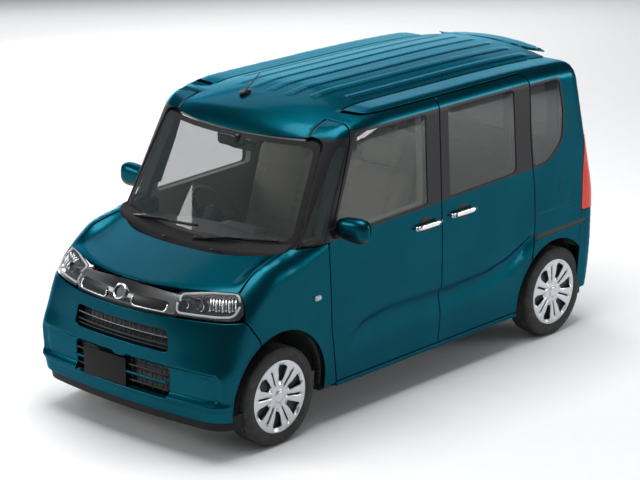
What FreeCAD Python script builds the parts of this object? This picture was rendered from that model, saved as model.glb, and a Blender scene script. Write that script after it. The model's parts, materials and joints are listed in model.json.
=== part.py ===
"""Kei car: tall five-door wagon built from separate panels, glass, chassis and cabin pieces.

Millimetres. The front faces -Y, the car's left side is +X and +Z is up. The origin is
on the ground, under the middle of the car's length and width.
"""
import FreeCAD, Part
import math
import os

from FreeCAD import Vector

# Overall sizes
overall_length = 3395.0
overall_width = 1475.0
overall_height = 1755.0
wheelbase = 2460.0
front_overhang = 510.5
front_track = 1300.0
rear_track = 1296.0

# Wheels and tyres
tyre_diameter = 556.0
tyre_width = 155.0
rim_diameter = 356.0
rim_width = 126.0
rim_wall = 6.0
bead_clearance = 0.3
cover_diameter = 372.0
cover_thickness = 6.0
cover_bulge = 10.0
cover_cap_diameter = 62.0
spoke_pairs = 6
hub_diameter = 136.0
spindle_diameter = 44.0
spindle_clearance = 0.1

# Body section seen from the front
waist_low_z = 560.0
waist_high_z = 860.0
sill_tuck = 30.0
sill_z = 206.0
roof_edge_drop = 115.0
roof_edge_lean = 37.5
shoulder_drop = 39.0
shoulder_lean = 42.0
shoulder_radius = 62.0
ditch_x = 480.0
ditch_width = 14.0
ditch_drop = 52.0
rail_drop = 13.0
lower_blend_radius = 400.0
upper_blend_radius = 1100.0

# Roof line, bonnet line and glass planes seen from the side
roof_arc_y = -485.0
roof_arc_radius = 1390.0
header_y = -788.0
header_drop = 124.0
header_radius = 90.0
roof_rear_y = 900.0
roof_rear_radius = 9000.0
spoiler_setback = 95.5
spoiler_drop = 33.0
spoiler_radius = 26.0
bonnet_front_setback = 87.5
bonnet_front_z = 897.0
bonnet_rear_y = -1280.0
bonnet_rear_z = 1008.0
bonnet_slope = 0.298
bonnet_crown_radius = 9000.0
bonnet_shoulder_x = 735.0
bonnet_shoulder_radius = 70.0
bonnet_top_z = 1008.0
bonnet_top_y = -1250.0
bonnet_shoulder_drop = 14.0
belt_z = 1056.0
screen_base_y = -1141.0
screen_base_z = 1000.0
screen_slope = 0.60
screen_flat_x = 230.0
screen_flat_lead = 6.0
pillar_x = 690.0
pillar_y = -1006.0
pillar_radius = 85.0
tail_slope = 0.21
tail_break_z = 850.0
tail_bow = 26.0
tail_corner_radius = 80.0
tail_flat_x = 330.0
tail_bow_radius = 1800.0

# Gaps and walls
panel_gap = 6.0
seam_gap = 0.3
skin = 26.0
roof_wall = 32.0
door_wall = 72.0
frame_wall = 96.0
rail_wall = 44.0
flange = 42.0
gate_wall = 58.0
glass_thickness = 5.0
glass_inset = 4.0
overrun = 60.0

# Side panel outlines
door_low_z = 240.0
door_top_drop = 71.0
door_front_low_y = -716.0
door_front_mid_y = -778.0
door_front_mid_z = 560.0
door_front_belt_y = -794.0
door_front_belt_z = 1050.0
door_front_top_y = -550.0
door_split_y = 167.0
slide_rear_top_y = 978.0
slide_rear_belt_y = 1030.0
slide_rear_low_y = 1044.0
slide_rear_low_z = 640.0
door_corner_radius = 28.0
door_hinge_x = 735.5
door_hinge_y = -786.0
window_base_front_z = 1074.0
window_base_mid_z = 1100.0
window_base_rear_z = 1120.0
window_top_drop = 153.0
window_radius = 26.0
front_window_front_y = -752.0
front_window_top_y = -546.0
front_window_rear_y = 40.0
slide_window_front_y = 250.0
slide_window_rear_y = 842.0
quarter_front_low_y = 1036.0
quarter_front_top_y = 992.0
quarter_rear_y = 1300.0
quarter_radius = 210.0
corner_glass_front_y = -1020.0
corner_glass_rear_y = -838.0
corner_glass_top_front_y = -668.0
corner_glass_top_rear_y = -610.0
corner_glass_top_drop = 195.0
corner_glass_radius = 14.0
front_arch_radius = 365.0
front_arch_z = 283.0
rear_arch_radius = 353.0
rear_arch_y = 1252.0
rear_arch_z = 268.0
wheel_well_x = 405.0
rear_well_x = 500.0
liner_wall = 12.0

# Doors' furniture
handle_length = 230.0
handle_height = 26.0
handle_depth = 16.0
handle_standoff = 14.0
handle_z = 976.0
handle_cup_radius = 56.0
handle_cup_depth = 22.0
handle_gap = 30.0

# Front end
nose_heights_share = (0.068, 0.171, 0.256, 0.342, 0.447, 0.513, 0.570, 0.627)
nose_centre_share = (0.073, 0.011, 0.000, 0.001, 0.019, 0.142, 0.425, 0.720)
nose_corner_share = (0.210, 0.132, 0.120, 0.250, 0.418, 0.645, 0.876, 1.110)
nose_radius_share = (0.068, 0.075, 0.075, 0.081, 0.088, 0.102, 0.108, 0.108)
lamp_inner_x = 376.0
lamp_low_z = 764.0
lamp_high_z = 905.0
lamp_setback = 257.5
lamp_depth = 58.0
grille_low_z = 764.0
grille_high_z = 893.0
grille_depth = 55.0
grille_recess = 18.0
grille_pod_inner_x = 95.0
grille_pod_outer_x = 330.0
grille_pod_low_z = 778.0
grille_pod_high_z = 838.0
bumper_low_z = 222.0
intake_half_width = 345.0
intake_low_z = 571.0
intake_high_z = 688.0
mouth_half_width = 356.0
mouth_low_z = 308.0
mouth_high_z = 482.0
intake_radius = 24.0
slat_height = 14.0
slat_depth = 40.0
bonnet_half_width = 612.0
bumper_seam_low_setback = 352.5
bumper_seam_high_setback = 251.5

# Rear end
gate_half_width_low = 632.0
gate_half_width_high = 596.0
gate_low_z = 620.0
gate_shoulder_z = 1250.0
gate_front_setback = 254.5
gate_radius = 40.0
gate_window_low_z = 1120.0
gate_window_drop = 145.0
gate_window_half_width_low = 560.0
gate_window_half_width_high = 520.0
spoiler_half_width = 590.0
spoiler_front_setback = 227.5
spoiler_low_drop = 87.0
tail_lamp_low_z = 752.0
tail_lamp_high_z = 1206.0
tail_lamp_width = 92.0
tail_lamp_depth = 50.0
tail_lamp_low_setback = 177.5
tail_lamp_high_setback = 137.5
tail_lamp_waist_y = 1610.0
rear_bumper_high_z = 640.0
rear_bumper_seam_setback = 197.5
rear_bumper_corner_setback = 115.5

# Fuel lid
fuel_lid_y = 1358.0
fuel_lid_z = 920.0
fuel_lid_diameter = 164.0
fuel_lid_thickness = 10.0
fuel_pocket_depth = 40.0
fuel_axis_depth = 2.0
fuel_axis_y = 1278.0
fuel_barrel_radius = 4.0
fuel_barrel_height = 28.0
fuel_pin_radius = 2.0
fuel_lug_low = 20.0
fuel_lug_high = 30.0
fuel_lug_reach = 16.0

# Sliding door rail
rail_front_y = 1062.0
rail_rear_y = 1562.0
rail_low_z = 655.0
rail_high_z = 688.0
rail_depth = 24.0

# Mirrors and aerial
mirror_y = -742.0
mirror_z = 1118.0
mirror_width = 175.0
mirror_height = 122.0
mirror_depth = 92.0
mirror_radius = 40.0
mirror_gap = 42.0
mirror_arm = 46.0
aerial_x = -118.0
aerial_y = -560.0
aerial_length = 175.0
aerial_diameter = 7.0
aerial_lean = 62.0
aerial_foot_length = 96.0
aerial_foot_width = 46.0
aerial_foot_height = 26.0

# Floor and structure
floor_z = 300.0
floor_thickness = 40.0
floor_half_width = 632.0
load_floor_z = 600.0
load_floor_y = 905.0
firewall_y = -985.0
firewall_thickness = 36.0
rail_half_gap = 330.0
chassis_rail_width = 60.0
chassis_rail_height = 90.0
chassis_rail_z = 420.0
tower_radius = 92.0
tower_top_z = 850.0
beam_height = 90.0
beam_depth = 60.0
sill_height = 88.0
sill_width = 66.0
wheelhouse_x = 500.0
wheelhouse_wall = 24.0
pillar_band = 92.0
pillar_wall = 36.0

# Suspension
kingpin_low_x = 594.0
kingpin_low_z = 196.0
kingpin_high_x = 500.0
kingpin_high_z = 826.0
strut_diameter = 32.0
spring_diameter = 104.0
spring_low_z = 600.0
knuckle_plate = 34.0
arm_width = 70.0
arm_thickness = 28.0
subframe_width = 640.0
subframe_length = 190.0
subframe_height = 70.0
subframe_z = 226.0
rear_beam_y = 1010.0
rear_beam_diameter = 84.0
trail_arm_width = 52.0
trail_arm_height = 64.0
rear_spring_diameter = 96.0
exhaust_diameter = 44.0
exhaust_x = -350.0
muffler_length = 250.0
muffler_width = 190.0
muffler_height = 120.0
exhaust_z = 205.0

# Engine
engine_length = 330.0
engine_height = 430.0
engine_low_z = 330.0
engine_y = -1290.0
radiator_width = 600.0
radiator_height = 380.0
radiator_thickness = 40.0
radiator_setback = 137.5
radiator_low_z = 300.0

# Cabin
driver_x = -350.0
seat_width = 500.0
seat_length = 500.0
seat_thickness = 130.0
seat_z = 600.0
front_seat_y = -330.0
seat_back_height = 600.0
seat_back_thickness = 110.0
seat_back_lean = 0.34
seat_radius = 36.0
head_rest_width = 250.0
head_rest_height = 150.0
head_rest_thickness = 80.0
head_rest_gap = 34.0
rear_seat_y = 500.0
rear_seat_width = 1150.0
rear_seat_back_height = 560.0
seat_leg_width = 60.0
dash_front_y = -1072.0
dash_rear_y = -705.0
dash_top_z = 1010.0
dash_low_z = 640.0
dash_setback = 45.0
steering_y = -560.0
steering_z = 975.0
steering_diameter = 368.0
steering_rim = 28.0
steering_tilt = 28.0
steering_column = 150.0
steering_hub_diameter = 130.0
steering_gap = 6.0
cowl_drop = 30.0
cowl_thickness = 12.0
cowl_overlap = 12.0
wiper_width = 16.0
wiper_length = 560.0

# Lines shared by several panels
rail_header_y = -728.0
rail_header_drop = 143.0
rail_arc_y = -560.0
rail_arc_drop = 77.0
rail_arc_radius = 500.0
rail_flat_y = -330.0
rail_flat_radius = 900.0
rail_flat_rear_y = 900.0
rail_rear_drop = 8.0
nose_flat_x = 250.0
bow_flat_share = 0.1
nose_back = 900.0
bonnet_flat_x = 250.0
bonnet_lead_x = 250.0
bonnet_lead_setback = 105.5
bonnet_lead_radius = 900.0
bonnet_corner_setback = 257.5
bonnet_back_y = -1030.0
bonnet_back_x = 450.0
bonnet_back_mid_y = -1180.0
bonnet_back_centre_y = -1255.0
screen_low_x = 657.0
screen_low_z = 1042.0
screen_low_sag = 34.0
screen_top_x = 590.0
screen_top_drop = 177.0
screen_top_sag = 14.0
frame_front_y = -985.0
fender_back_y = -985.0
cowl_z = 962.0
cowl_front_y = -1060.0
gate_roof_drop = 115.0
gate_inner_setback = 217.5
gate_inner_top_y = 1480.0
spoiler_tip_drop = 53.0
slat_inset = 8.0
handle_front_y = 34.0
handle_slide_y = 353.0
load_rear_setback = 97.5
rear_beam_z = 420.0
firewall_top_z = 962.0
tank_half_width = 300.0
tank_front_y = 250.0
tank_low_z = 225.0
beam_setback = 137.5
beam_half_width = 560.0
tower_outer_x = 560.0
tower_plate = 20.0
strut_pin_diameter = 22.0
spring_high_z = 800.0
hub_offset = 34.0
spindle_reach = 30.0
rear_arm_x = 452.0
rear_spring_x = 380.0
rim_lip = 14.0
tyre_round = 24.0
tread_width = 128.0
tyre_wall = 14.0
disc_x = 16.0
cover_x = 65.0
cover_window_low = 74.0
cover_window_high = 166.0
cover_window_width = 104.0
cover_window_round = 10.0
wiper_z = 1012.0
wiper_rise = 16.0
wiper_steps = 4
wiper_standoff = 20.0
wiper_one_x = -520.0
wiper_one_tip_x = 60.0
wiper_two_x = 40.0
wiper_two_tip_x = 560.0
aerial_foot_drop = 55.0
exhaust_front_y = -900.0
exhaust_rear_setback = 97.5
exhaust_tip_setback = 37.5
steering_hub_length = 60.0

# Places worked out from the sizes above
half_length = overall_length / 2
half_width = overall_width / 2
front_axle_y = front_overhang - half_length
rear_axle_y = front_axle_y + wheelbase
axle_z = tyre_diameter / 2
roof_edge_z = overall_height - roof_edge_drop
shoulder_z = overall_height - shoulder_drop
header_z = overall_height - header_drop
spoiler_z = overall_height - spoiler_drop
door_top_z = overall_height - door_top_drop
window_top_z = overall_height - window_top_drop
corner_glass_top_z = overall_height - corner_glass_top_drop
gate_window_high_z = overall_height - gate_window_drop
spoiler_low_z = overall_height - spoiler_low_drop
rail_header_z = overall_height - rail_header_drop
rail_arc_z = overall_height - rail_arc_drop
screen_top_z = overall_height - screen_top_drop
gate_roof_low_z = overall_height - gate_roof_drop
spoiler_tip_z = overall_height - spoiler_tip_drop
aerial_foot_z = overall_height - aerial_foot_drop
bonnet_front_y = bonnet_front_setback - half_length
lamp_rear_y = lamp_setback - half_length
bumper_seam_low_y = bumper_seam_low_setback - half_length
bumper_seam_high_y = bumper_seam_high_setback - half_length
bonnet_lead_y = bonnet_lead_setback - half_length
bonnet_corner_y = bonnet_corner_setback - half_length
radiator_y = radiator_setback - half_length
beam_y = beam_setback - half_length
spoiler_y = half_length - spoiler_setback
gate_front_y = half_length - gate_front_setback
spoiler_front_y = half_length - spoiler_front_setback
tail_lamp_low_y = half_length - tail_lamp_low_setback
tail_lamp_high_y = half_length - tail_lamp_high_setback
rear_bumper_seam_y = half_length - rear_bumper_seam_setback
rear_bumper_corner_y = half_length - rear_bumper_corner_setback
gate_inner_y = half_length - gate_inner_setback
load_rear_y = half_length - load_rear_setback
exhaust_rear_y = half_length - exhaust_rear_setback
exhaust_tip_y = half_length - exhaust_tip_setback
door_inner_x = half_width - frame_wall - flange
door_swing_radius = door_split_y - panel_gap / 2 - door_hinge_y
crown_rise = overall_height - (shoulder_z - rail_drop)
crown_radius = (ditch_x ** 2 + crown_rise ** 2) / (2 * crown_rise)
crown_centre_z = overall_height - crown_radius


def on_side(u, v):
    """A point of an outline seen from the side: u along Y, v along Z."""
    return Vector(0, u, v)


def on_plan(u, v):
    """A point of an outline seen from above: u along X, v along Y."""
    return Vector(u, v, 0)


def on_front(u, v):
    """A point of an outline seen from the front: u along X, v along Z."""
    return Vector(u, 0, v)


def outline(points, place):
    """Closed wire through corner points (u, v) or (u, v, radius) with rounded corners."""
    corners = []
    count = len(points)
    flat = [Vector(p[0], p[1], 0) for p in points]
    for i, point in enumerate(points):
        here = flat[i]
        radius = point[2] if len(point) > 2 else 0
        back = (flat[i - 1] - here).normalize()
        ahead = (flat[(i + 1) % count] - here).normalize()
        half = back.getAngle(ahead) / 2
        if radius == 0 or math.pi / 2 - half < math.radians(0.01):
            corners.append((here, None, here))
            continue
        reach = radius / math.tan(half)
        centre = here + (back + ahead).normalize() * (radius / math.sin(half))
        middle = centre + (here - centre).normalize() * radius
        corners.append((here + back * reach, middle, here + ahead * reach))
    edges = []
    for i, (start, middle, end) in enumerate(corners):
        if middle is not None:
            arc = Part.Arc(place(*start[:2]), place(*middle[:2]), place(*end[:2]))
            edges.append(arc.toShape())
        following = corners[(i + 1) % count][0]
        if (following - end).Length > seam_gap / 1000:
            edges.append(Part.LineSegment(place(*end[:2]), place(*following[:2])).toShape())
    return Part.Wire(edges)


def face(points, place):
    return Part.Face(outline(points, place))


def grown(shape_face, distance):
    """The same flat outline moved outwards by a gap."""
    return shape_face.makeOffset2D(distance) if distance else shape_face


def side_prism(points, x_low, x_high, grow=0):
    """An outline seen from the side, extruded across the car."""
    flat = grown(face(points, on_side), grow)
    flat.translate(Vector(x_low, 0, 0))
    return flat.extrude(Vector(x_high - x_low, 0, 0))


def front_prism(points, y_low, y_high, grow=0):
    """An outline seen from the front, extruded along the car."""
    flat = grown(face(points, on_front), grow)
    flat.translate(Vector(0, y_low, 0))
    return flat.extrude(Vector(0, y_high - y_low, 0))


def plan_prism(points, z_low, z_high):
    """An outline seen from above, extruded upwards."""
    flat = face(points, on_plan)
    flat.translate(Vector(0, 0, z_low))
    return flat.extrude(Vector(0, 0, z_high - z_low))


def box(x_low, x_high, y_low, y_high, z_low, z_high):
    corner = Vector(x_low, y_low, z_low)
    return Part.makeBox(x_high - x_low, y_high - y_low, z_high - z_low, corner)


def rounded_box(x_low, x_high, y_low, y_high, z_low, z_high, radius):
    """A block with rounded corners seen from the side and from above."""
    side = [(y_low, z_low, radius), (y_low, z_high, radius), (y_high, z_high, radius), (y_high, z_low, radius)]
    plan = [(x_low, y_low, radius), (x_low, y_high, radius), (x_high, y_high, radius), (x_high, y_low, radius)]
    return side_prism(side, x_low, x_high).common(plan_prism(plan, z_low, z_high))


def rod(start, end, diameter):
    """A round bar between two points."""
    along = end - start
    return Part.makeCylinder(diameter / 2, along.Length, start, along)


def mirrored(shape):
    """The same piece on the car's other side."""
    return shape.mirror(Vector(0, 0, 0), Vector(1, 0, 0))


def crowned(points, radius, top_z, degrees):
    """A side outline turned about a lengthwise axis far below, so that its top is crowned."""
    base = Vector(0, 0, top_z - radius)
    along = Vector(0, 1, 0)
    flat = face(points, on_side)
    flat.rotate(base, along, -degrees)
    return flat.revolve(base, along, 2 * degrees)


def leaning_prism(points, z_low, z_high, slope, z_reference):
    """A plan outline drawn at one height and carried up along a slope."""
    flat = face(points, on_plan)
    flat.translate(Vector(0, slope * (z_low - z_reference), z_low))
    rise = z_high - z_low
    return flat.extrude(Vector(0, slope * rise, rise))


def one_solid(shape):
    """The largest solid of a cut, without slivers."""
    return sorted(shape.Solids, key=lambda solid: solid.Volume)[-1]


def both_sides(half):
    """An outline symmetric about the car's middle from its right-hand half."""
    return half + [(-p[0],) + tuple(p[1:]) for p in reversed(half) if p[0] != 0]


def bow_radius(flat_x, run, rise):
    """The radius that rounds a bowed edge's two bends almost up to its middle."""
    return flat_x * (1 - bow_flat_share) / math.tan(math.atan2(rise, run) / 2)


def section_form(inset):
    """The body's cross-section, extruded along the whole car."""
    wide = half_width - inset
    drop = min(inset, rail_wall)
    half = [
        (wide - sill_tuck, 0),
        (wide - sill_tuck, sill_z),
        (wide, waist_low_z, lower_blend_radius),
        (wide, waist_high_z, upper_blend_radius),
        (wide - roof_edge_lean, roof_edge_z - drop),
        (wide - shoulder_lean, shoulder_z - drop, shoulder_radius - min(drop, rail_wall / 2)),
        (ditch_x, shoulder_z - rail_drop - drop),
        (ditch_x, overall_height + overrun),
    ]
    return front_prism(both_sides(half), -half_length - overrun, half_length + overrun)


def roof_form(inset):
    """The crowned roof down to the belt."""
    low = belt_z - 2 * overrun
    points = [
        (screen_base_y - overrun, low),
        (screen_base_y - overrun, belt_z),
        (header_y + inset * screen_slope, header_z - inset, header_radius),
        (roof_arc_y, overall_height - inset, roof_arc_radius),
        (roof_rear_y, overall_height - inset, roof_rear_radius),
        (spoiler_y + 2 * overrun, spoiler_z - inset),
        (spoiler_y + 2 * overrun, low),
    ]
    reach = math.asin((half_width + overrun) / (low - crown_centre_z))
    return crowned(points, crown_radius, overall_height, math.degrees(reach))


def rail_form(inset):
    """The uncrowned roof line above the doors, down to the ground."""
    drop = min(inset, rail_wall)
    points = [
        (-half_length - overrun, 0),
        (-half_length - overrun, belt_z),
        (rail_header_y, rail_header_z - drop),
        (rail_arc_y, rail_arc_z - drop, rail_arc_radius),
        (rail_flat_y, shoulder_z - drop, rail_flat_radius),
        (rail_flat_rear_y, shoulder_z - drop, rail_flat_radius),
        (half_length + overrun, spoiler_z - rail_rear_drop - drop),
        (half_length + overrun, 0),
    ]
    return side_prism(points, -half_width - overrun, half_width + overrun)


def screen_form(inset):
    """Everything behind the bowed, raked windscreen and its rounded corners."""
    back = inset * math.hypot(1, screen_slope)
    reach = half_width + overrun - pillar_x
    radius = bow_radius(screen_flat_x, pillar_x - inset - screen_flat_x, pillar_y - screen_base_y + screen_flat_lead)
    half = [
        (pillar_x + reach, overall_length),
        (pillar_x + reach, pillar_y + reach + back),
        (pillar_x - inset, pillar_y + back, pillar_radius),
        (screen_flat_x, screen_base_y - screen_flat_lead + back, radius),
    ]
    return leaning_prism(both_sides(half), 0, overall_height + overrun, screen_slope, screen_base_z)


def tail_form(inset):
    """Everything ahead of the car's back: upright below, leaning forward above."""
    back = half_length - inset
    wide = half_width + seam_gap - inset
    half = [
        (wide, -half_length - overrun),
        (wide, back - tail_bow, tail_corner_radius),
        (tail_flat_x, back, tail_bow_radius),
    ]
    low = plan_prism(both_sides(half), 0, tail_break_z)
    high = leaning_prism(both_sides(half), tail_break_z, overall_height + overrun, -tail_slope, tail_break_z)
    return low.fuse(high)


def nose_form(inset):
    """The front end, lofted through level outlines."""
    rings = []
    tables = zip(nose_heights_share, nose_centre_share, nose_corner_share, nose_radius_share)
    for height_share, centre_share, corner_share, radius_share in tables:
        centre = front_overhang * centre_share - half_length + inset
        corner = front_overhang * corner_share - half_length + inset
        radius = bow_radius(nose_flat_x, half_width - nose_flat_x, corner - centre)
        half = [
            (half_width + seam_gap - inset, -half_length + nose_back),
            (half_width + seam_gap - inset, corner, overall_width * radius_share),
            (nose_flat_x, centre, radius),
        ]
        ring = outline(both_sides(half), on_plan)
        ring.translate(Vector(0, 0, overall_height * height_share))
        rings.append(ring)
    return Part.makeLoft(rings, True, False)


def bonnet_form(inset):
    """The bonnet and fender tops: a low-crowned section carried back up the slope."""
    top = bonnet_top_z - inset * math.hypot(1, bonnet_slope)
    half = [
        (half_width + overrun, -overall_height),
        (half_width + overrun, top - bonnet_shoulder_drop - 2 * overrun),
        (bonnet_shoulder_x - inset, top - bonnet_shoulder_drop, bonnet_shoulder_radius),
        (bonnet_flat_x, top, bonnet_crown_radius),
    ]
    flat = face(both_sides(half), on_front)
    back = bonnet_top_y + half_length + overrun
    flat.translate(Vector(0, bonnet_top_y - back, -bonnet_slope * back))
    return flat.extrude(Vector(0, 2 * back, 2 * bonnet_slope * back))


def memo(function):
    """Remembers each form by its inset, so that it is built once."""
    kept = {}

    def build(inset=0.0):
        if inset not in kept:
            kept[inset] = function(inset)
        return kept[inset]
    return build


@memo
def cabin_form(inset):
    """The body behind the front axle, without the crowned middle of the roof."""
    return section_form(inset).common(rail_form(inset)).common(screen_form(inset)).common(tail_form(inset))


@memo
def front_form(inset):
    """The body ahead of the doors."""
    return section_form(inset).common(bonnet_form(inset)).common(nose_form(inset))


@memo
def side_form(inset):
    """The body's plain sides."""
    return section_form(inset)


@memo
def glass_form(inset):
    """The screen's surface."""
    return screen_form(inset)


def ring(form, outer, inner, region):
    """A wall between two insets of a form, within a region."""
    return form(outer).common(region).cut(form(inner))


def arch(y, z, radius, x_low, x_high):
    return Part.makeCylinder(radius, x_high - x_low, Vector(x_low, y, z), Vector(1, 0, 0))


def front_arch(radius=None, x_low=None):
    return arch(front_axle_y, front_arch_z, radius or front_arch_radius, x_low or wheel_well_x, half_width + overrun)


def rear_arch(radius=None, x_low=None):
    return arch(rear_arch_y, rear_arch_z, radius or rear_arch_radius, x_low or rear_well_x, half_width + overrun)


# Outlines on the body's side (y, z)
def front_door_outline():
    return [
        (door_front_low_y, door_low_z, panel_gap),
        (door_front_mid_y, door_front_mid_z, lower_blend_radius),
        (door_front_belt_y, door_front_belt_z, door_corner_radius),
        (door_front_top_y, door_top_z, door_corner_radius),
        (door_split_y - panel_gap / 2, door_top_z),
        (door_split_y - panel_gap / 2, door_low_z),
    ]


def slide_door_outline():
    return [
        (door_split_y + panel_gap / 2, door_low_z),
        (door_split_y + panel_gap / 2, door_top_z),
        (slide_rear_top_y, door_top_z, door_corner_radius * 2),
        (slide_rear_belt_y, belt_z),
        (slide_rear_low_y, slide_rear_low_z, door_corner_radius),
        (slide_rear_low_y - overrun, rear_arch_z + rear_arch_radius / 2),
        (rear_arch_y - rear_arch_radius, rear_arch_z),
        (rear_arch_y - rear_arch_radius, door_low_z),
    ]


def front_window_outline():
    return [
        (front_window_front_y, window_base_front_z, window_radius),
        (front_window_top_y, window_top_z, window_radius),
        (front_window_rear_y, window_top_z, window_radius),
        (front_window_rear_y, window_base_mid_z, window_radius),
    ]


def slide_window_outline():
    return [
        (slide_window_front_y, window_base_mid_z, window_radius),
        (slide_window_front_y, window_top_z, window_radius),
        (slide_window_rear_y, window_top_z, window_radius),
        (slide_window_rear_y, window_base_rear_z, window_radius),
    ]


def quarter_outline():
    return [
        (quarter_front_low_y, window_base_rear_z, window_radius),
        (quarter_front_top_y, window_top_z, window_radius),
        (quarter_rear_y, window_top_z, window_radius),
        (quarter_rear_y, window_base_rear_z, quarter_radius),
    ]


def corner_glass_outline():
    return [
        (corner_glass_front_y, window_base_front_z, corner_glass_radius),
        (corner_glass_top_front_y, corner_glass_top_z, corner_glass_radius),
        (corner_glass_top_rear_y, corner_glass_top_z, corner_glass_radius),
        (corner_glass_rear_y, window_base_front_z, corner_glass_radius),
    ]


def outer_side(points, grow=0):
    """A side outline through the car's left side only."""
    return side_prism(points, ditch_x - ditch_width, half_width + overrun, grow)


def door_side(points):
    """A door's outline through the body side, clear of the roof's edge."""
    return side_prism(points, door_inner_x, half_width + overrun)


# Outlines seen from the front (x, z)
def screen_outline():
    half = [
        (screen_low_x, screen_low_z, window_radius),
        (screen_top_x, screen_top_z, window_radius),
        (0, screen_top_z - screen_top_sag),
    ]
    low = [(0, screen_low_z - screen_low_sag)]
    return half + [(-p[0],) + tuple(p[1:]) for p in reversed(half[:2])] + low


def gate_outline():
    half = [
        (gate_half_width_low, gate_low_z, gate_radius),
        (gate_half_width_low, gate_shoulder_z, lower_blend_radius),
        (gate_half_width_high, overall_height + overrun),
    ]
    return both_sides(half)


def gate_window_outline():
    half = [
        (gate_window_half_width_low, gate_window_low_z, gate_radius),
        (gate_window_half_width_high, gate_window_high_z, gate_radius),
    ]
    return both_sides(half)


def screen_opening():
    return front_prism(screen_outline(), -half_length, -front_overhang)


def gate_region(grow=0):
    """Everything the tailgate takes out of the car's back."""
    back = front_prism(gate_outline(), gate_front_y, half_length + overrun, grow)
    low = [
        (gate_front_y, overall_height + overrun),
        (gate_front_y, gate_roof_low_z),
        (gate_inner_y, gate_roof_low_z),
        (gate_inner_y, 0),
        (half_length + overrun, 0),
        (half_length + overrun, overall_height + overrun),
    ]
    return back.common(side_prism(low, -half_width, half_width, grow))


def lamp_region():
    """The left headlamp's place in the front."""
    front = [
        (lamp_inner_x, lamp_low_z, window_radius / 2),
        (lamp_inner_x, lamp_high_z - window_radius, window_radius / 2),
        (bonnet_half_width, lamp_high_z + window_radius),
        (half_width + overrun, lamp_high_z + window_radius),
        (half_width + overrun, lamp_low_z),
    ]
    side = [
        (-half_length - overrun, lamp_low_z - overrun),
        (-half_length - overrun, lamp_high_z + overrun),
        (lamp_rear_y, lamp_high_z + overrun),
        (lamp_rear_y, lamp_low_z - overrun),
    ]
    return front_prism(front, -half_length - overrun, lamp_rear_y).common(side_prism(side, 0, half_width + overrun))


def bonnet_region(grow=0):
    """Everything the bonnet takes out of the car's top, seen from above."""
    half = [
        (bonnet_lead_x, bonnet_lead_y, bonnet_lead_radius),
        (bonnet_half_width, bonnet_corner_y),
        (bonnet_half_width, bonnet_back_y),
        (bonnet_back_x, bonnet_back_mid_y, lower_blend_radius),
        (0, bonnet_back_centre_y, lower_blend_radius),
    ]
    flat = grown(face(both_sides(half), on_plan), grow)
    low = grille_high_z + panel_gap - grow
    flat.translate(Vector(0, 0, low))
    return flat.extrude(Vector(0, 0, belt_z + overrun - low))


def bumper_region():
    """Everything the front bumper takes, seen from the side."""
    side = [
        (-half_length - overrun, bumper_low_z),
        (-half_length - overrun, grille_low_z),
        (bumper_seam_high_y, lamp_low_z),
        (bumper_seam_low_y, waist_low_z + overrun),
        (bumper_seam_low_y, bumper_low_z),
    ]
    return side_prism(side, -half_width - overrun, half_width + overrun)


def fender_region():
    """The left fender's place, seen from the side."""
    side = [
        (-half_length - overrun, lamp_high_z),
        (-half_length - overrun, overall_height),
        (fender_back_y, overall_height),
        (fender_back_y, belt_z),
        (door_front_belt_y - panel_gap, belt_z),
        (door_front_belt_y - panel_gap, door_front_belt_z, door_corner_radius),
        (door_front_mid_y - panel_gap, door_front_mid_z, lower_blend_radius),
        (door_front_low_y - panel_gap, bumper_low_z),
        (bumper_seam_low_y, bumper_low_z),
        (bumper_seam_low_y, waist_low_z + overrun),
        (bumper_seam_high_y, lamp_low_z),
        (bumper_seam_high_y, lamp_high_z),
    ]
    return side_prism(side, 0, half_width + overrun)


def rear_bumper_region():
    side = [
        (rear_bumper_seam_y, sill_z),
        (rear_bumper_seam_y, rear_bumper_high_z - overrun),
        (rear_bumper_corner_y, tail_lamp_low_z - panel_gap),
        (half_length + overrun, tail_lamp_low_z - panel_gap),
        (half_length + overrun, sill_z),
    ]
    return side_prism(side, -half_width - overrun, half_width + overrun)


def tail_lamp_region():
    side = [
        (tail_lamp_low_y, tail_lamp_low_z),
        (tail_lamp_high_y, tail_lamp_high_z),
        (half_length + overrun, tail_lamp_high_z),
        (half_length + overrun, tail_lamp_low_z),
    ]
    return side_prism(side, gate_half_width_low + panel_gap, half_width + overrun)


def build_front_door():
    """Left front door: one hollow-cabin-side panel as thick as the whole door."""
    wall = ring(side_form, 0, door_wall, door_side(front_door_outline()))
    wall = wall.cut(outer_side(front_window_outline())).cut(cup(handle_front_y))
    sweep = Part.makeCylinder(door_swing_radius, overall_height, Vector(door_hinge_x, door_hinge_y, 0))
    return one_solid(wall.common(sweep))


def build_slide_door():
    """Left sliding door, cut away round the rear wheel arch."""
    wall = ring(side_form, 0, door_wall, door_side(slide_door_outline()))
    wall = wall.cut(outer_side(slide_window_outline())).cut(cup(handle_slide_y)).cut(rear_arch())
    return one_solid(wall)


def pane(points):
    """Left side glass following the body's side, filling an opening edge to edge."""
    return one_solid(ring(side_form, glass_inset, glass_inset + glass_thickness, outer_side(points)))


def cup(y):
    """The hollow behind a door handle."""
    middle = Vector(half_width + handle_cup_radius * 2 - handle_cup_depth - sill_tuck / 8, y, handle_z)
    return Part.makeSphere(handle_cup_radius * 2, middle)


def build_handle(y):
    """A bar handle standing clear of the door on two feet."""
    x_low = half_width + handle_standoff - sill_tuck / 4
    bar = rounded_box(x_low, x_low + handle_depth, y - handle_length / 2, y + handle_length / 2,
                      handle_z - handle_height / 2, handle_z + handle_height / 2, handle_height / 4)
    for end in (-1, 1):
        place = y + end * (handle_length - handle_height) / 2
        foot = rod(Vector(half_width - sill_tuck, place, handle_z), Vector(x_low + handle_depth / 2, place, handle_z), handle_height / 2)
        bar = bar.fuse(foot.cut(side_form(0)))
    return one_solid(bar)


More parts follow.
